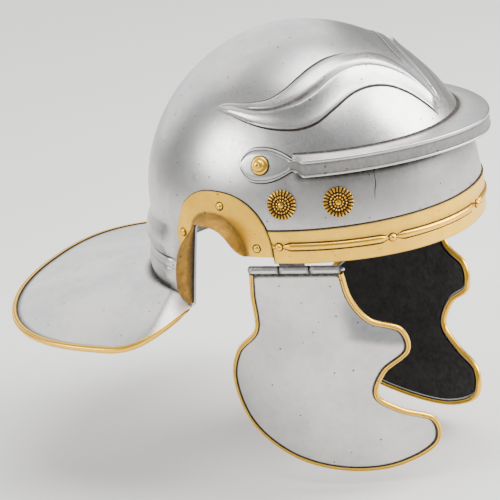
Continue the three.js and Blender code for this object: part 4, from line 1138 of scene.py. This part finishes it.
def edging_section(cover, beyond, half, seat, slot):
    """Section of a folded edging: out, up and painted shade, from its mouth round and back."""
    nose = np.linspace(-math.pi / 2, math.pi / 2, 17)
    lip = half * 0.93
    under = [(-cover, -lip + 0.45 * MM, 1), (-cover + 0.35 * MM, -lip, 0.3),
             (-0.55 * cover, -lip, 0), (-0.35 * cover, -lip + 0.1 * MM, 0.4),
             (-0.3 * cover, -lip + 0.35 * MM, 1), (-0.2 * cover, -lip + 0.1 * MM, 0.4)]
    bead = [(beyond * math.cos(a), half * math.sin(a), 0) for a in nose]
    over = [(out, -up, painted) for out, up, painted in under[::-1]]
    inside = [(-cover, slot, 1), (seat, slot, 1), (seat, -slot, 1), (-cover, -slot, 1)]
    return np.array(under + bead + over + inside)


def edging_rings(edge, outward, normal, section):
    """The section of an edging carried along an edge."""
    return (edge[:, None, :] + outward[:, None, :] * section[None, :, 0:1]
            + normal[:, None, :] * section[None, :, 1:2])


class HELMET_OT_neck_edging(HelmetStep, bpy.types.Operator):
    """Builds the brass edging of the neck guard"""
    bl_idname = "helmet.neck_edging"
    bl_label = "Neck guard edging"

    def build(self, context, form):
        neck = form.neck
        turns = np.linspace(-1, 1, NECK_EDGE_POINTS) * neck.corner_angle * 0.997
        normal = form.neck_normal(turns, np.ones_like(turns))
        rim = form.neck_point(turns, np.ones_like(turns))
        outward = unit(rim - form.neck_point(turns, np.full_like(turns, 0.9)))
        section = edging_section(neck.edge_cover, neck.edge_width - neck.edge_cover - 0.2 * MM,
                                 neck.edge_half, 0.5 * MM, 1.3 * MM)
        edge = rim - normal * neck.sheet / 2
        rings = edging_rings(edge, outward, normal, section)
        piece = Piece().tube(rings, section[:, 2][None, :])
        piece.finish("neck_guard_edging_fine", "helmet", "brass", "neck_guard_edging")


class HELMET_OT_brow_band(HelmetStep, bpy.types.Operator):
    """Builds the brow band with its bead"""
    bl_idname = "helmet.brow_band"
    bl_label = "Brow band"

    def build(self, context, form):
        trim = form.trim
        turns = np.linspace(-1, 1, BAND_COLUMNS)[:, None]
        inside, outside = GAP, GAP + trim.band_sheet
        low, high = -trim.bead_half, trim.bead_half
        # Section rows: out, up and painted shade along the band's edges and beside the bead
        lower = [(inside, 0, 1), (outside - 0.25 * MM, 0, 1), (outside, 0.3 * MM, 0.3),
                 (outside, 1 * MM, 0), (outside, 5 * MM, 0), (outside, 8.2 * MM, 0)]
        bead = [(outside, low - 1.2 * MM, 0), (outside - 0.2 * MM, low - 0.9 * MM, 1),
                (outside - 0.2 * MM, low, 1)]
        bead += [(outside + trim.bead_proud * math.sin(a), -trim.bead_half * math.cos(a), 0)
                 for a in np.linspace(0.25, math.pi - 0.25, 11)]
        bead += [(outside - 0.25 * MM, high, 1), (outside - 0.25 * MM, high + 1 * MM, 0.85),
                 (outside, high + 1.2 * MM, 0.2)]
        upper = [(outside, -6 * MM, 0), (outside, -1 * MM, 0), (outside, -0.5 * MM, 0.5),
                 (outside - 0.3 * MM, -0.1 * MM, 1), (0.5 * GAP, 0, 1), (0.5 * GAP, 0.6 * MM, 1),
                 (0.3 * GAP, 0.6 * MM, 1)]
        reach = [form.band_end(row[1]) for row in lower]
        reach += [form.band_end(trim.bead_height + row[1]) for row in bead]
        reach += [form.band_end(trim.band_side + row[1]) for row in upper]
        angles = turns * np.array(reach)[None, :]
        first, last = len(lower), len(lower) + len(bead)
        section = np.array(lower + bead + upper)
        offsets = section[:, 0][None, :] * np.ones_like(angles)
        heights = section[:, 1][None, :] * np.ones_like(angles)
        apart = self.apart(form, angles[:, first:last])
        heights[:, first:last] = trim.bead_height + heights[:, first:last] * mix(0.3, 1, apart)
        proud = offsets[:, first:last] - outside
        offsets[:, first:last] = outside + np.where(proud > 0, proud * apart, proud)
        heights[:, last:] += mix(trim.band_side, trim.band_front, np.cos(angles[:, last:])**2)
        rings = form.bowl_spot(angles, heights, offsets)
        # Painted shade also at the band's ends, beside the ear guards
        shade_and_dirt = np.maximum(section[:, 2][None, :], np.where(np.abs(turns) > 0.9965, 0.9, 0))
        piece = Piece().tube(rings, shade_and_dirt)
        piece.finish("brow_band_fine", "helmet", "brass", "brow_band")

    def apart(self, form, angles):
        """Nothing at a rivet of the band and one away from it, where the bead is whole."""
        nearest = np.full(angles.shape, np.inf)
        for place in form.band_rivets():
            for middle in (place, -place):
                away = np.abs(angles - middle) * form.plan_radius(middle)
                nearest = np.minimum(nearest, away)
        return smooth(nearest, 1.2 * MM, 8.5 * MM)


class HELMET_OT_peak(HelmetStep, bpy.types.Operator):
    """Builds the folded brow peak with its eye plates"""
    bl_idname = "helmet.peak"
    bl_label = "Brow peak"

    def build(self, context, form):
        piece = Piece()
        rings, shade_and_dirt = self.bar(form)
        piece.tube(rings, shade_and_dirt)
        eye = Piece()
        eye.tube(*self.eye_plate(form))
        other = eye.mirrored()
        piece.add(np.concatenate(eye.spots), eye.faces, np.concatenate(eye.shade_and_dirt))
        piece.add(np.concatenate(other.spots), other.faces, np.concatenate(other.shade_and_dirt))
        piece.finish("brow_peak_fine", "helmet", "iron", "brow_peak")

    def bar(self, form):
        """Rings of the folded bar, with lips above and below its sunk front face."""
        trim, bowl = form.trim, form.bowl
        angles = np.linspace(-trim.peak_end, trim.peak_end, BAR_COLUMNS)
        deep = smooth(np.degrees(trim.peak_end - np.abs(angles)), 0, 4)
        top_share = float(form.dome_share(trim.peak_height))
        reach = bowl.front_reach * top_share + trim.peak_front
        width = bowl.half_width * top_share + trim.peak_side
        plan = ((np.abs(np.cos(angles)) / reach)**trim.peak_power
                + (np.abs(np.sin(angles)) / width)**trim.peak_power)
        rise = trim.peak_rise * np.cos(angles)**2
        root = trim.peak_height + rise / 2
        top = trim.peak_height - 1 * MM + rise
        face = trim.peak_face * mix(0.85, 1, deep)
        low = top - face
        sheet = trim.peak_sheet
        inner = self.wall_radius(form, angles, root - sheet)
        outer = np.maximum(mix(inner + 2.6 * MM, plan**(-1 / trim.peak_power), deep),
                           self.wall_radius(form, angles, low) + sheet)
        sunk = outer - 0.4 * MM
        seam = self.wall_radius(form, angles, root + 0.9 * MM) - 0.2 * MM
        # Corners: radius, height, rounding, painted shade; shade is painted under and inside the
        # bar and on its sunk front face
        corners = [(seam, root + 0.9 * MM, 0, 1), (inner, root - sheet, 0, 1),
                   (outer - sheet, top - sheet, 0.8, 1), (outer - sheet, low, 0.4, 1),
                   (outer, low, 0.6, 0), (outer, low + 1.2 * MM, 0.3, 0),
                   (sunk, low + 1.6 * MM, 0.2, 0.8), (sunk, low + 2.6 * MM, 0, 0.62),
                   (sunk, top - 0.35 * face, 0, 0.58), (sunk, top - 2.3 * MM, 0.2, 0.75),
                   (outer, top - 1.9 * MM, 0.3, 0), (outer, top, 1.2, 0),
                   (mix(inner, outer, 0.25), mix(root, top, 0.25), 0, 0),
                   (inner + 0.3 * MM, root + 0.1 * MM, 0, 1)]
        spots = np.stack([np.stack([radius * np.cos(angles), radius * np.sin(angles), height], -1)
                          for radius, height, _, _ in corners], 1)
        rings, picked = rounded(spots, [row[2] * MM for row in corners], 4)
        return rings, np.array([row[3] for row in corners])[picked][None, :]

    def wall_radius(self, form, angles, height):
        """Just outside the bowl's wall."""
        return form.plan_radius(angles) * form.dome_share(height) + GAP

    def eye_plate(self, form):
        """Rings of the eye-shaped plate at the bar's right end."""
        trim = form.trim
        middle = trim.peak_height - trim.eye_below
        end = (math.cos(trim.peak_end) * float(form.plan_radius(trim.peak_end))
               * float(form.dome_share(trim.peak_height)))
        along = -np.cos(np.linspace(0, math.pi, EYE_COLUMNS))
        reach = np.where(along < 0, trim.eye_length, end + 5.5 * MM - trim.eye_forward)
        lens = np.where(along < 0, np.clip(1 - np.abs(along)**2.6, 0, 1)**0.62,
                        np.clip(1 - along**2, 0, 1)**1.1)
        half = trim.eye_half * np.maximum(np.maximum(0.04, lens), 0.36 * smooth(along, 0.1, 0.8))
        x = (trim.eye_forward + along * reach)[:, None]
        bevel = np.minimum(1.3 * MM / half, 0.5)[:, None]
        rows = EYE_SECTION + [(-place, inset, flat, up, painted)
                              for place, inset, flat, up, painted in EYE_SECTION[-2::-1]]
        where, lift, shade_and_dirt = [], [], []
        for side, inset, flat, up, painted in rows:
            where.append(side * np.ones_like(half)[:, None] if flat else side * (1 - inset * bevel))
            lift.append(GAP + trim.eye_sheet * up)
            shade_and_dirt.append(painted)
        # Two rows tucked under the plate's rim, in painted shade
        where += [1 + 0.5 * bevel, -1 - 0.5 * bevel]
        lift += [0.6 * GAP, 0.6 * GAP]
        shade_and_dirt += [1, 1]
        z = middle + np.concatenate(where, 1) * half[:, None]
        rings = form.wall_point(x * np.ones_like(z), z, np.array(lift)[None, :])
        return rings, np.array(shade_and_dirt)[None, :]


class HELMET_OT_ear_guards(HelmetStep, bpy.types.Operator):
    """Builds the brass ear guards: plate and flange"""
    bl_idname = "helmet.ear_guards"
    bl_label = "Ear guards"

    def build(self, context, form):
        ear = form.ear
        rows = curve_through(form.ear_rows(), EAR_POINTS, 2)
        x, z, out, droop, plate_x, plate_z = rows.T
        inside, outside = GAP, GAP + ear.sheet
        bend, bend_out = form.wall_point(x, z, inside), form.wall_point(x, z, outside)
        edge_in = form.wall_point(plate_x, plate_z, inside)
        towards = unit(edge_in - bend)
        outward = form.bowl_normal(form.wall_angle(x, z), z)
        tip = bend + outward * (out + ear.sheet)[:, None]
        tip[:, 2] -= droop

        def across(offset, *shares):
            return [form.wall_point(mix(x, plate_x, s), mix(z, plate_z, s), offset) for s in shares]

        skirt = edge_in + towards * 0.6 * MM
        corners = [bend, *across(inside, 0.25, 0.5, 0.75), skirt, skirt + outward * 0.15 * MM,
                   edge_in + outward * 0.2 * MM, form.wall_point(plate_x, plate_z, outside),
                   *across(outside, 0.96, 0.75, 0.5, 0.25),
                   bend_out + towards * ear.sheet, tip + towards * ear.sheet, tip,
                   mix(bend, tip, 0.5)]
        cuts, shade_and_dirt, aged = np.array(EAR_SECTION).T
        rings, picked = rounded(np.stack(corners, 1), cuts * MM, 4)
        piece = Piece().tube(rings, shade_and_dirt[picked][None, :], aged[picked][None, :])
        pair(piece, "ear_guard", "aged_brass")


def turned_piece(profile, place, normal, steps):
    """A piece turned about its own axis, from rows of radius, height and painted shade."""
    rows = np.array(profile)
    axis = unit(np.asarray(normal, float))
    side = unit(np.cross(axis, (0.0, 0.0, 1.0) if abs(axis[2]) < 0.9 else (1.0, 0.0, 0.0)))
    other = np.cross(axis, side)
    turns = np.linspace(0, 2 * math.pi, steps, endpoint=False)
    spokes = np.cos(turns)[:, None] * side + np.sin(turns)[:, None] * other
    rings = (place + rows[:, 0, None, None] * spokes[None] + rows[:, 1, None, None] * axis)
    return rings, rows[:, 2][:, None]


def rivet_rows(radius, tall):
    """Profile of a domed head with painted shade round its foot."""
    dome = [(radius * math.cos(a), tall * (0.16 + 0.84 * math.sin(a)), 0)
            for a in np.linspace(0.12, math.pi / 2 - 0.06, 9)]
    foot = [(radius * 1.26, 0, 1), (radius * 1.26, 0.12 * MM, 1), (radius * 0.98, 0.15 * MM, 1),
            (radius, tall * 0.14, 0.35)]
    return foot + dome


class HELMET_OT_rivets(HelmetStep, bpy.types.Operator):
    """Builds the small rivets and the domed rivets of the peak"""
    bl_idname = "helmet.rivets"
    bl_label = "Rivets"

    def build(self, context, form):
        trim, ear = form.trim, form.ear
        seat, bead_tall = GAP + trim.band_sheet, trim.rivet_tall + trim.bead_proud
        names = ("band_rivet_front", "band_rivet_side", "band_rivet_quarter")
        for name, angle in zip(names, form.band_rivets()):
            profile = rivet_rows(trim.rivet, bead_tall)
            self.rivet(form, name, angle, trim.bead_height, seat, profile, angle != 0)
        rows = form.ear_rows()
        for name, (station, part) in EAR_RIVETS.items():
            x, z, _, _, plate_x, plate_z = rows[station]
            forward, height = mix(x, plate_x, part), mix(z, plate_z, part)
            angle = float(form.wall_angle(forward, height))
            profile = rivet_rows(trim.rivet, trim.rivet_tall + GAP)
            self.rivet(form, f"ear_rivet_{name}", angle, height, GAP + ear.sheet, profile)
        middle = trim.peak_height - trim.eye_below
        angle = float(form.wall_angle(trim.eye_forward, middle))
        profile = [(trim.peak_rivet * out, trim.peak_rivet_tall * up, painted)
                   for out, up, painted in PEAK_RIVET_ROWS]
        self.rivet(form, "peak_rivet", angle, middle, GAP + trim.eye_sheet, profile)

    def rivet(self, form, name, angle, height, seat, profile, both=True):
        normal = form.bowl_normal(angle, height)
        place = form.bowl_point(angle, height) + normal * seat
        rings, shade_and_dirt = turned_piece(profile, place, normal, RIVET_SIDES)
        piece = Piece().tube(rings, shade_and_dirt)
        if both:
            pair(piece, name, "brass")
        else:
            piece.finish(f"{name}_fine", "helmet", "brass", name)


class HELMET_OT_rosettes(HelmetStep, bpy.types.Operator):
    """Builds the round brass rosettes"""
    bl_idname = "helmet.rosettes"
    bl_label = "Rosettes"

    def build(self, context, form):
        for name, forward in (("rosette_rear", form.trim.rosette_rear),
                              ("rosette_fore", form.trim.rosette_fore)):
            pair(self.rosette(form, forward), name, "brass")

    def rosette(self, form, forward):
        trim = form.trim
        radius, tall = trim.rosette, trim.rosette_tall
        angle = float(form.wall_angle(forward, trim.rosette_height))
        normal = form.bowl_normal(angle, trim.rosette_height)
        place = form.bowl_point(angle, trim.rosette_height) + normal * GAP
        dish = [(radius * out, tall * up, painted) for out, up, painted in ROSETTE_DISH]
        piece = Piece()
        rings, shade_and_dirt = turned_piece(dish, place, normal, ROSETTE_SIDES)
        piece.tube(rings, shade_and_dirt, 0.6)
        for spoke in self.spokes(normal, PETALS, 0):
            across = np.cross(normal, spoke)
            petal = [[place + spoke * radius * out + across * radius * width * math.cos(a)
                      + normal * tall * (0.1 + (rise - 0.1) * math.sin(a))
                      for a in np.linspace(0, math.pi, len(PETAL_SHADE))]
                     for out, width, rise in PETAL_ROWS]
            piece.tube(np.array(petal), np.array(PETAL_SHADE)[None, :], 0.45)
        bead = [(radius * BEAD_WIDTH * math.cos(a), tall * (0.2 + 0.42 * math.sin(a)), 0)
                for a in np.linspace(-0.3, math.pi / 2 - 0.15, 5)]
        for count, out in BEAD_RINGS:
            for spoke in self.spokes(normal, count, 0.5):
                seat = place + spoke * radius * out
                rings, shade_and_dirt = turned_piece(bead, seat, normal, BEAD_SIDES)
                piece.tube(rings, shade_and_dirt, 0.3)
        return piece

    def spokes(self, normal, count, shift):
        """Directions spread evenly round the rosette's axis."""
        side = unit(np.cross(normal, (0.0, 0.0, 1.0)))
        other = np.cross(normal, side)
        turns = 2 * math.pi * (np.arange(count) + shift) / count
        return [math.cos(turned) * side + math.sin(turned) * other for turned in turns]


def knuckle_rows(radius, start, end):
    """Profile of a worn knuckle with softened ends."""
    rim = 0.35 * MM
    worn = [(radius * (1 - 0.03 * math.sin(9 * t) * math.sin(23 * t + 1)), mix(start, end, t), 0)
            for t in np.linspace(0.12, 0.88, 12)]
    # Painted shade at the knuckle's ends, in the gaps between knuckles
    first = [(radius - rim * 1.6, start, 1), (radius - rim * 0.6, start, 1),
             (radius, start + rim, 0.7)]
    last = [(radius, end - rim, 0.7), (radius - rim * 0.6, end, 1),
            (radius - rim * 1.6, end, 1)]
    return first + worn + last


class HELMET_OT_hinges(HelmetStep, bpy.types.Operator):
    """Builds the hinges: two leaves and a pin each"""
    bl_idname = "helmet.hinges"
    bl_label = "Hinges"

    def build(self, context, form):
        self.upper(form)
        self.lower(form)
        cheek = form.cheek
        half = cheek.hinge_length / 2
        # Painted shade at the pin's end
        pin = [(cheek.pin * 0.6, -half - 1 * MM, 0.3), (cheek.pin, -half - 0.8 * MM, 0),
               (cheek.pin, half + 2 * MM, 0), (cheek.pin * 0.7, half + 2.45 * MM, 0)]
        rings, shade_and_dirt = turned_piece(pin, form.hinge, form.hinge_along, PIN_SIDES)
        pair(Piece().tube(rings, shade_and_dirt), "hinge_pin", "iron")

    def hollow(self, piece, form, start, end):
        """A rolled knuckle round the pin."""
        cheek = form.cheek
        rows = knuckle_rows(cheek.knuckle, start, end)
        hole = cheek.pin + GAP
        # Painted shade inside the knuckle, round the pin
        rows += [(hole, end, 1), (hole, start, 1)]
        rings, shade_and_dirt = turned_piece(rows, form.hinge, form.hinge_along, KNUCKLE_SIDES)
        piece.tube(rings, shade_and_dirt, closed=True)

    def upper(self, form):
        cheek, bowl = form.cheek, form.bowl
        third = cheek.hinge_length / 6
        half = third - 0.35 * MM
        piece = Piece()
        self.hollow(piece, form, -half, half)
        pin = form.hinge[2]
        heights = np.concatenate([
            [pin + 0.5 * cheek.knuckle, pin + 0.8 * cheek.knuckle, -2.6 * MM, -1 * MM, 0],
            np.linspace(4 * MM, pin + cheek.leaf_up, 5)])[:, None]
        inset = np.array(LEAF_INSETS)[:, None] * MM
        along = np.linspace(1 * MM - half, half - 1 * MM, 9)[None, :]
        angle = form.wall_angle(form.hinge_spot(along)[..., 0])
        level = np.maximum(heights, pin) * np.ones_like(along)
        angle = angle * np.ones_like(level)
        sheets = [form.bowl_point(angle, level, -bowl.sheet - GAP - depth - inset)
                  for depth in (0, cheek.leaf)]
        # Painted shade on the leaf below the rim, faint elsewhere and inside
        piece.shell(*sheets, np.where(heights < 0, 0.9, 0.2), 0.1)
        pair(piece, "hinge_upper_leaf", "iron")

    def lower(self, form):
        cheek = form.cheek
        half, third = cheek.hinge_length / 2, cheek.hinge_length / 6 + 0.35 * MM
        leaf_end = half - 4.5 * MM
        low = -cheek.knuckle - 0.5 * MM
        piece = Piece()
        self.hollow(piece, form, -half, -third)
        self.hollow(piece, form, third, half)
        for start, end, bottom, top in (
                (-leaf_end, leaf_end, -cheek.leaf_down, low),
                (third, leaf_end, low - cheek.leaf, -cheek.pin - GAP),
                (-leaf_end, -third, low - cheek.leaf, -cheek.pin - GAP)):
            spots = form.hinge_spot(np.linspace(start, end, 13)[None, :],
                                    np.linspace(bottom, top, 5)[:, None])
            faces = [form.guard_face(spots[..., 0], spots[..., 2], cheek.sheet + 2 * GAP + depth)
                     for depth in (0, cheek.leaf)]
            # Faint painted shade on the leaves
            piece.shell(*faces, 0.2, 0.1)
        pair(piece, "hinge_lower_leaf", "iron", body="cheek")


def filled(outline, spacing, rings):
    """Points and triangles inside an outline: the outline, rings inside it and a grid."""
    closed = np.asarray(outline)
    following = np.roll(closed, -1, axis=0)
    step = following - np.roll(closed, 1, axis=0)
    inward = unit(np.stack([-step[:, 1], step[:, 0]], -1))
    area = np.sum(closed[:, 0] * following[:, 1] - following[:, 0] * closed[:, 1])
    inward *= 1 if area > 0 else -1
    extra = [closed + inward * depth for depth in rings]
    low, high = closed.min(0), closed.max(0)
    xs = np.arange(low[0], high[0], spacing)
    zs = np.arange(low[1], high[1], spacing * 0.87)
    grid = np.array([(x + (spacing / 2 if i % 2 else 0), z) for i, z in enumerate(zs) for x in xs])
    clear = max(rings) + spacing * 0.6
    distance = np.full(len(grid), np.inf)
    for spot in closed:
        distance = np.minimum(distance, np.linalg.norm(grid - spot, axis=1))
    grid = grid[distance > clear]
    spots = np.vstack([closed, *extra, grid])
    count = len(closed)
    edges = [(i, (i + 1) % count) for i in range(count)]
    result = delaunay_2d_cdt([Vector(p) for p in spots], edges, [list(range(count))], 1, 1e-7)
    places = np.array([tuple(p) for p in result[0]])
    return places, [tuple(face) for face in result[2]]


def outline_distance(places, outline):
    """Distance of each place from the outline."""
    best = np.full(len(places), np.inf)
    for a, b in zip(outline, np.roll(outline, -1, axis=0)):
        run = b - a
        t = np.clip(((places - a) @ run) / max(float(run @ run), 1e-18), 0, 1)[:, None]
        best = np.minimum(best, np.linalg.norm(places - a - t * run, axis=1))
    return best


def plate(form, outline, spacing, rings, inset, thick, paint):
    """A plate of the cheek guard's form, cut to an outline."""
    places, triangles = filled(outline, spacing, rings)
    from_edge = outline_distance(places, outline)
    sides = [side for a, b, c in triangles for side in ((a, b), (b, c), (c, a))]
    crossed = set(sides)
    rim = [(a, b) for a, b in sides if (b, a) not in crossed]
    count = len(places)
    faces = list(triangles) + [tuple(count + i for i in face[::-1]) for face in triangles]
    faces += [(b, a, count + a, count + b) for a, b in rim]
    outer = form.guard_face(places[:, 0], places[:, 1], inset)
    inner = form.guard_face(places[:, 0], places[:, 1], inset + thick)
    spots = np.concatenate([outer, inner])
    if volume(spots, faces) < 0:
        faces = [face[::-1] for face in faces]
    shade_and_dirt, aged = paint(places, from_edge)
    return Piece().add(spots, faces, np.tile(shade_and_dirt, 2), np.tile(aged, 2))


class HELMET_OT_cheek_guards(HelmetStep, bpy.types.Operator):
    """Builds the iron cheek guards"""
    bl_idname = "helmet.cheek_guards"
    bl_label = "Cheek guards"

    def build(self, context, form):
        outline = form.guard_outline(GUARD_POINTS)

        def paint(places, from_edge):
            along, down = places[:, 0] - form.hinge[0], form.hinge[2] - places[:, 1]
            # A painted dark reflection ahead of the hinge's middle, below the hinge
            painted_reflection = smooth(along, 20 * MM, 34 * MM) * smooth(down, 14 * MM, 34 * MM)
            low = mix(52 * MM, 60 * MM, smooth(along, 20 * MM, 60 * MM))
            painted_reflection = painted_reflection * (1 - smooth(down - low, 0, 7 * MM))
            # Painted shade along the outline, under the edging, and the painted dark reflection
            return 0.95 * smooth(from_edge, 3.1 * MM, 2.3 * MM), 0.75 * painted_reflection

        piece = plate(form, outline, 2.2 * MM, (2.3 * MM, 3.1 * MM), 0.0, form.cheek.sheet, paint)
        pair(piece, "cheek_guard", "iron", body="cheek")


class HELMET_OT_cheek_linings(HelmetStep, bpy.types.Operator):
    """Builds the leather linings of the cheek guards"""
    bl_idname = "helmet.cheek_linings"
    bl_label = "Cheek linings"

    def build(self, context, form):
        cheek = form.cheek
        outline = form.guard_outline(GUARD_POINTS)
        step = np.gradient(outline, axis=0)
        along = unit(step)
        inner = outline + np.stack([-along[:, 1], along[:, 0]], -1) * cheek.lining_inset
        ceiling = form.hinge[2] - cheek.leaf_down - cheek.lining_below
        below = inner[inner[:, 1] < ceiling]

        def bare(places, from_edge):
            """No painted shade, dirt, patina or painted reflection anywhere."""
            return np.zeros(len(places)), np.zeros(len(places))

        piece = plate(form, below, 2.6 * MM, (1.2 * MM,), cheek.sheet + GAP, cheek.lining, bare)
        pair(piece, "cheek_lining", "lining_leather", body="cheek")


class HELMET_OT_cheek_edgings(HelmetStep, bpy.types.Operator):
    """Builds the brass edgings of the cheek guards"""
    bl_idname = "helmet.cheek_edgings"
    bl_label = "Cheek guard edgings"

    def build(self, context, form):
        cheek = form.cheek
        outline = form.guard_outline(GUARD_EDGE_POINTS)
        edge = form.guard_face(outline[:, 0], outline[:, 1], cheek.sheet / 2)
        along = unit(np.gradient(edge, axis=0))
        normal = form.guard_normal(outline[:, 0], outline[:, 1])
        outward = unit(np.cross(along, normal))
        section = edging_section(cheek.edge_cover, cheek.edge_width - cheek.edge_cover - 0.12 * MM,
                                 cheek.edge_half, 0.6 * MM, 0.95 * MM)
        rings = edging_rings(edge, outward, normal, section)
        piece = Piece().tube(rings, section[:, 2][None, :])
        pair(piece, "cheek_edging", "brass", body="cheek")


class HELMET_OT_stage(HelmetStep, bpy.types.Operator):
    """Builds the floor, the soft lights and the camera"""
    bl_idname = "helmet.stage"
    bl_label = "Stage"

    def build(self, context, form):
        self.floor(context)
        self.lights(context)
        self.camera(context)

    def floor(self, context):
        corners = [(x * FLOOR_HALF, y * FLOOR_HALF, FLOOR_DEPTH)
                   for x, y in ((-1, -1), (1, -1), (1, 1), (-1, 1))]
        mesh = bpy.data.meshes.new("studio_floor")
        mesh.from_pydata(corners, [], [(0, 1, 2, 3)])
        material, _, shader = shaded("helmet floor")
        shader.inputs["Base Color"].default_value = (*context.scene.helmet_finish.floor, 1)
        shader.inputs["Roughness"].default_value = 0.9
        mesh.materials.append(material)
        floor = bpy.data.objects.new("studio_floor", mesh)
        context.scene.collection.objects.link(floor)

    def lights(self, context):
        for name, azimuth, height, away, power, width in LIGHTS:
            turned, raised = math.radians(azimuth), math.radians(height)
            place = away * np.array([math.sin(turned) * math.cos(raised),
                                     -math.cos(turned) * math.cos(raised), math.sin(raised)])
            light = bpy.data.lights.new(f"studio_{name}", "AREA")
            light.energy, light.size = power, width
            lamp = bpy.data.objects.new(f"studio_{name}", light)
            lamp.location = place
            lamp.rotation_euler = (Vector(AIM) - Vector(place)).to_track_quat("-Z", "Y").to_euler()
            context.scene.collection.objects.link(lamp)
        world = bpy.data.worlds.new("studio")
        world.use_nodes = True
        sky = world.node_tree.nodes["Background"]
        sky.inputs["Color"].default_value = SKY
        sky.inputs["Strength"].default_value = SKY_STRENGTH
        context.scene.world = world

    def camera(self, context):
        data = bpy.data.cameras.new("camera")
        data.sensor_width = 36.0
        data.lens = CAMERA_LENS
        data.clip_end = 50.0
        camera = bpy.data.objects.new("camera", data)
        turned = Matrix(CAMERA_AXES).transposed().to_quaternion().to_matrix().to_4x4()
        camera.matrix_world = Matrix.Translation(CAMERA_PLACE) @ turned
        context.scene.collection.objects.link(camera)
        context.scene.camera = camera


OPERATORS = (
    HELMET_OT_stage, HELMET_OT_skull, HELMET_OT_brows, HELMET_OT_neck_guard,
    HELMET_OT_neck_edging, HELMET_OT_brow_band, HELMET_OT_peak, HELMET_OT_ear_guards,
    HELMET_OT_rivets, HELMET_OT_rosettes, HELMET_OT_hinges, HELMET_OT_cheek_guards,
    HELMET_OT_cheek_linings, HELMET_OT_cheek_edgings,
)
GROUPS = {
    "helmet_bowl": HelmetBowl, "helmet_neck": HelmetNeck, "helmet_ear": HelmetEar,
    "helmet_trim": HelmetTrim, "helmet_cheek": HelmetCheek, "helmet_finish": HelmetFinish,
}


class HELMET_PT_panel(bpy.types.Panel):
    """Lists the helmet's pieces and their sizes"""
    bl_idname = "HELMET_PT_panel"
    bl_label = "Legionary Helmet"
    bl_space_type = "VIEW_3D"
    bl_region_type = "UI"
    bl_category = "Helmet"

    def draw(self, context):
        column = self.layout.column(align=True)
        for operator in OPERATORS:
            column.operator(operator.bl_idname)
        for name, group in GROUPS.items():
            box = self.layout.box()
            box.label(text=group.__doc__)
            for key in group.__annotations__:
                box.prop(getattr(context.scene, name), key)


def register():
    for kind in (*GROUPS.values(), *OPERATORS, HELMET_PT_panel):
        bpy.utils.register_class(kind)
    for name, group in GROUPS.items():
        setattr(bpy.types.Scene, name, PointerProperty(type=group))


def unregister():
    for name in GROUPS:
        delattr(bpy.types.Scene, name)
    for kind in (HELMET_PT_panel, *OPERATORS[::-1], *list(GROUPS.values())[::-1]):
        bpy.utils.unregister_class(kind)


def main():
    register()
    for operator in OPERATORS:
        family, name = operator.bl_idname.split(".")
        getattr(getattr(bpy.ops, family), name)()


if __name__ == "__main__":
    main()
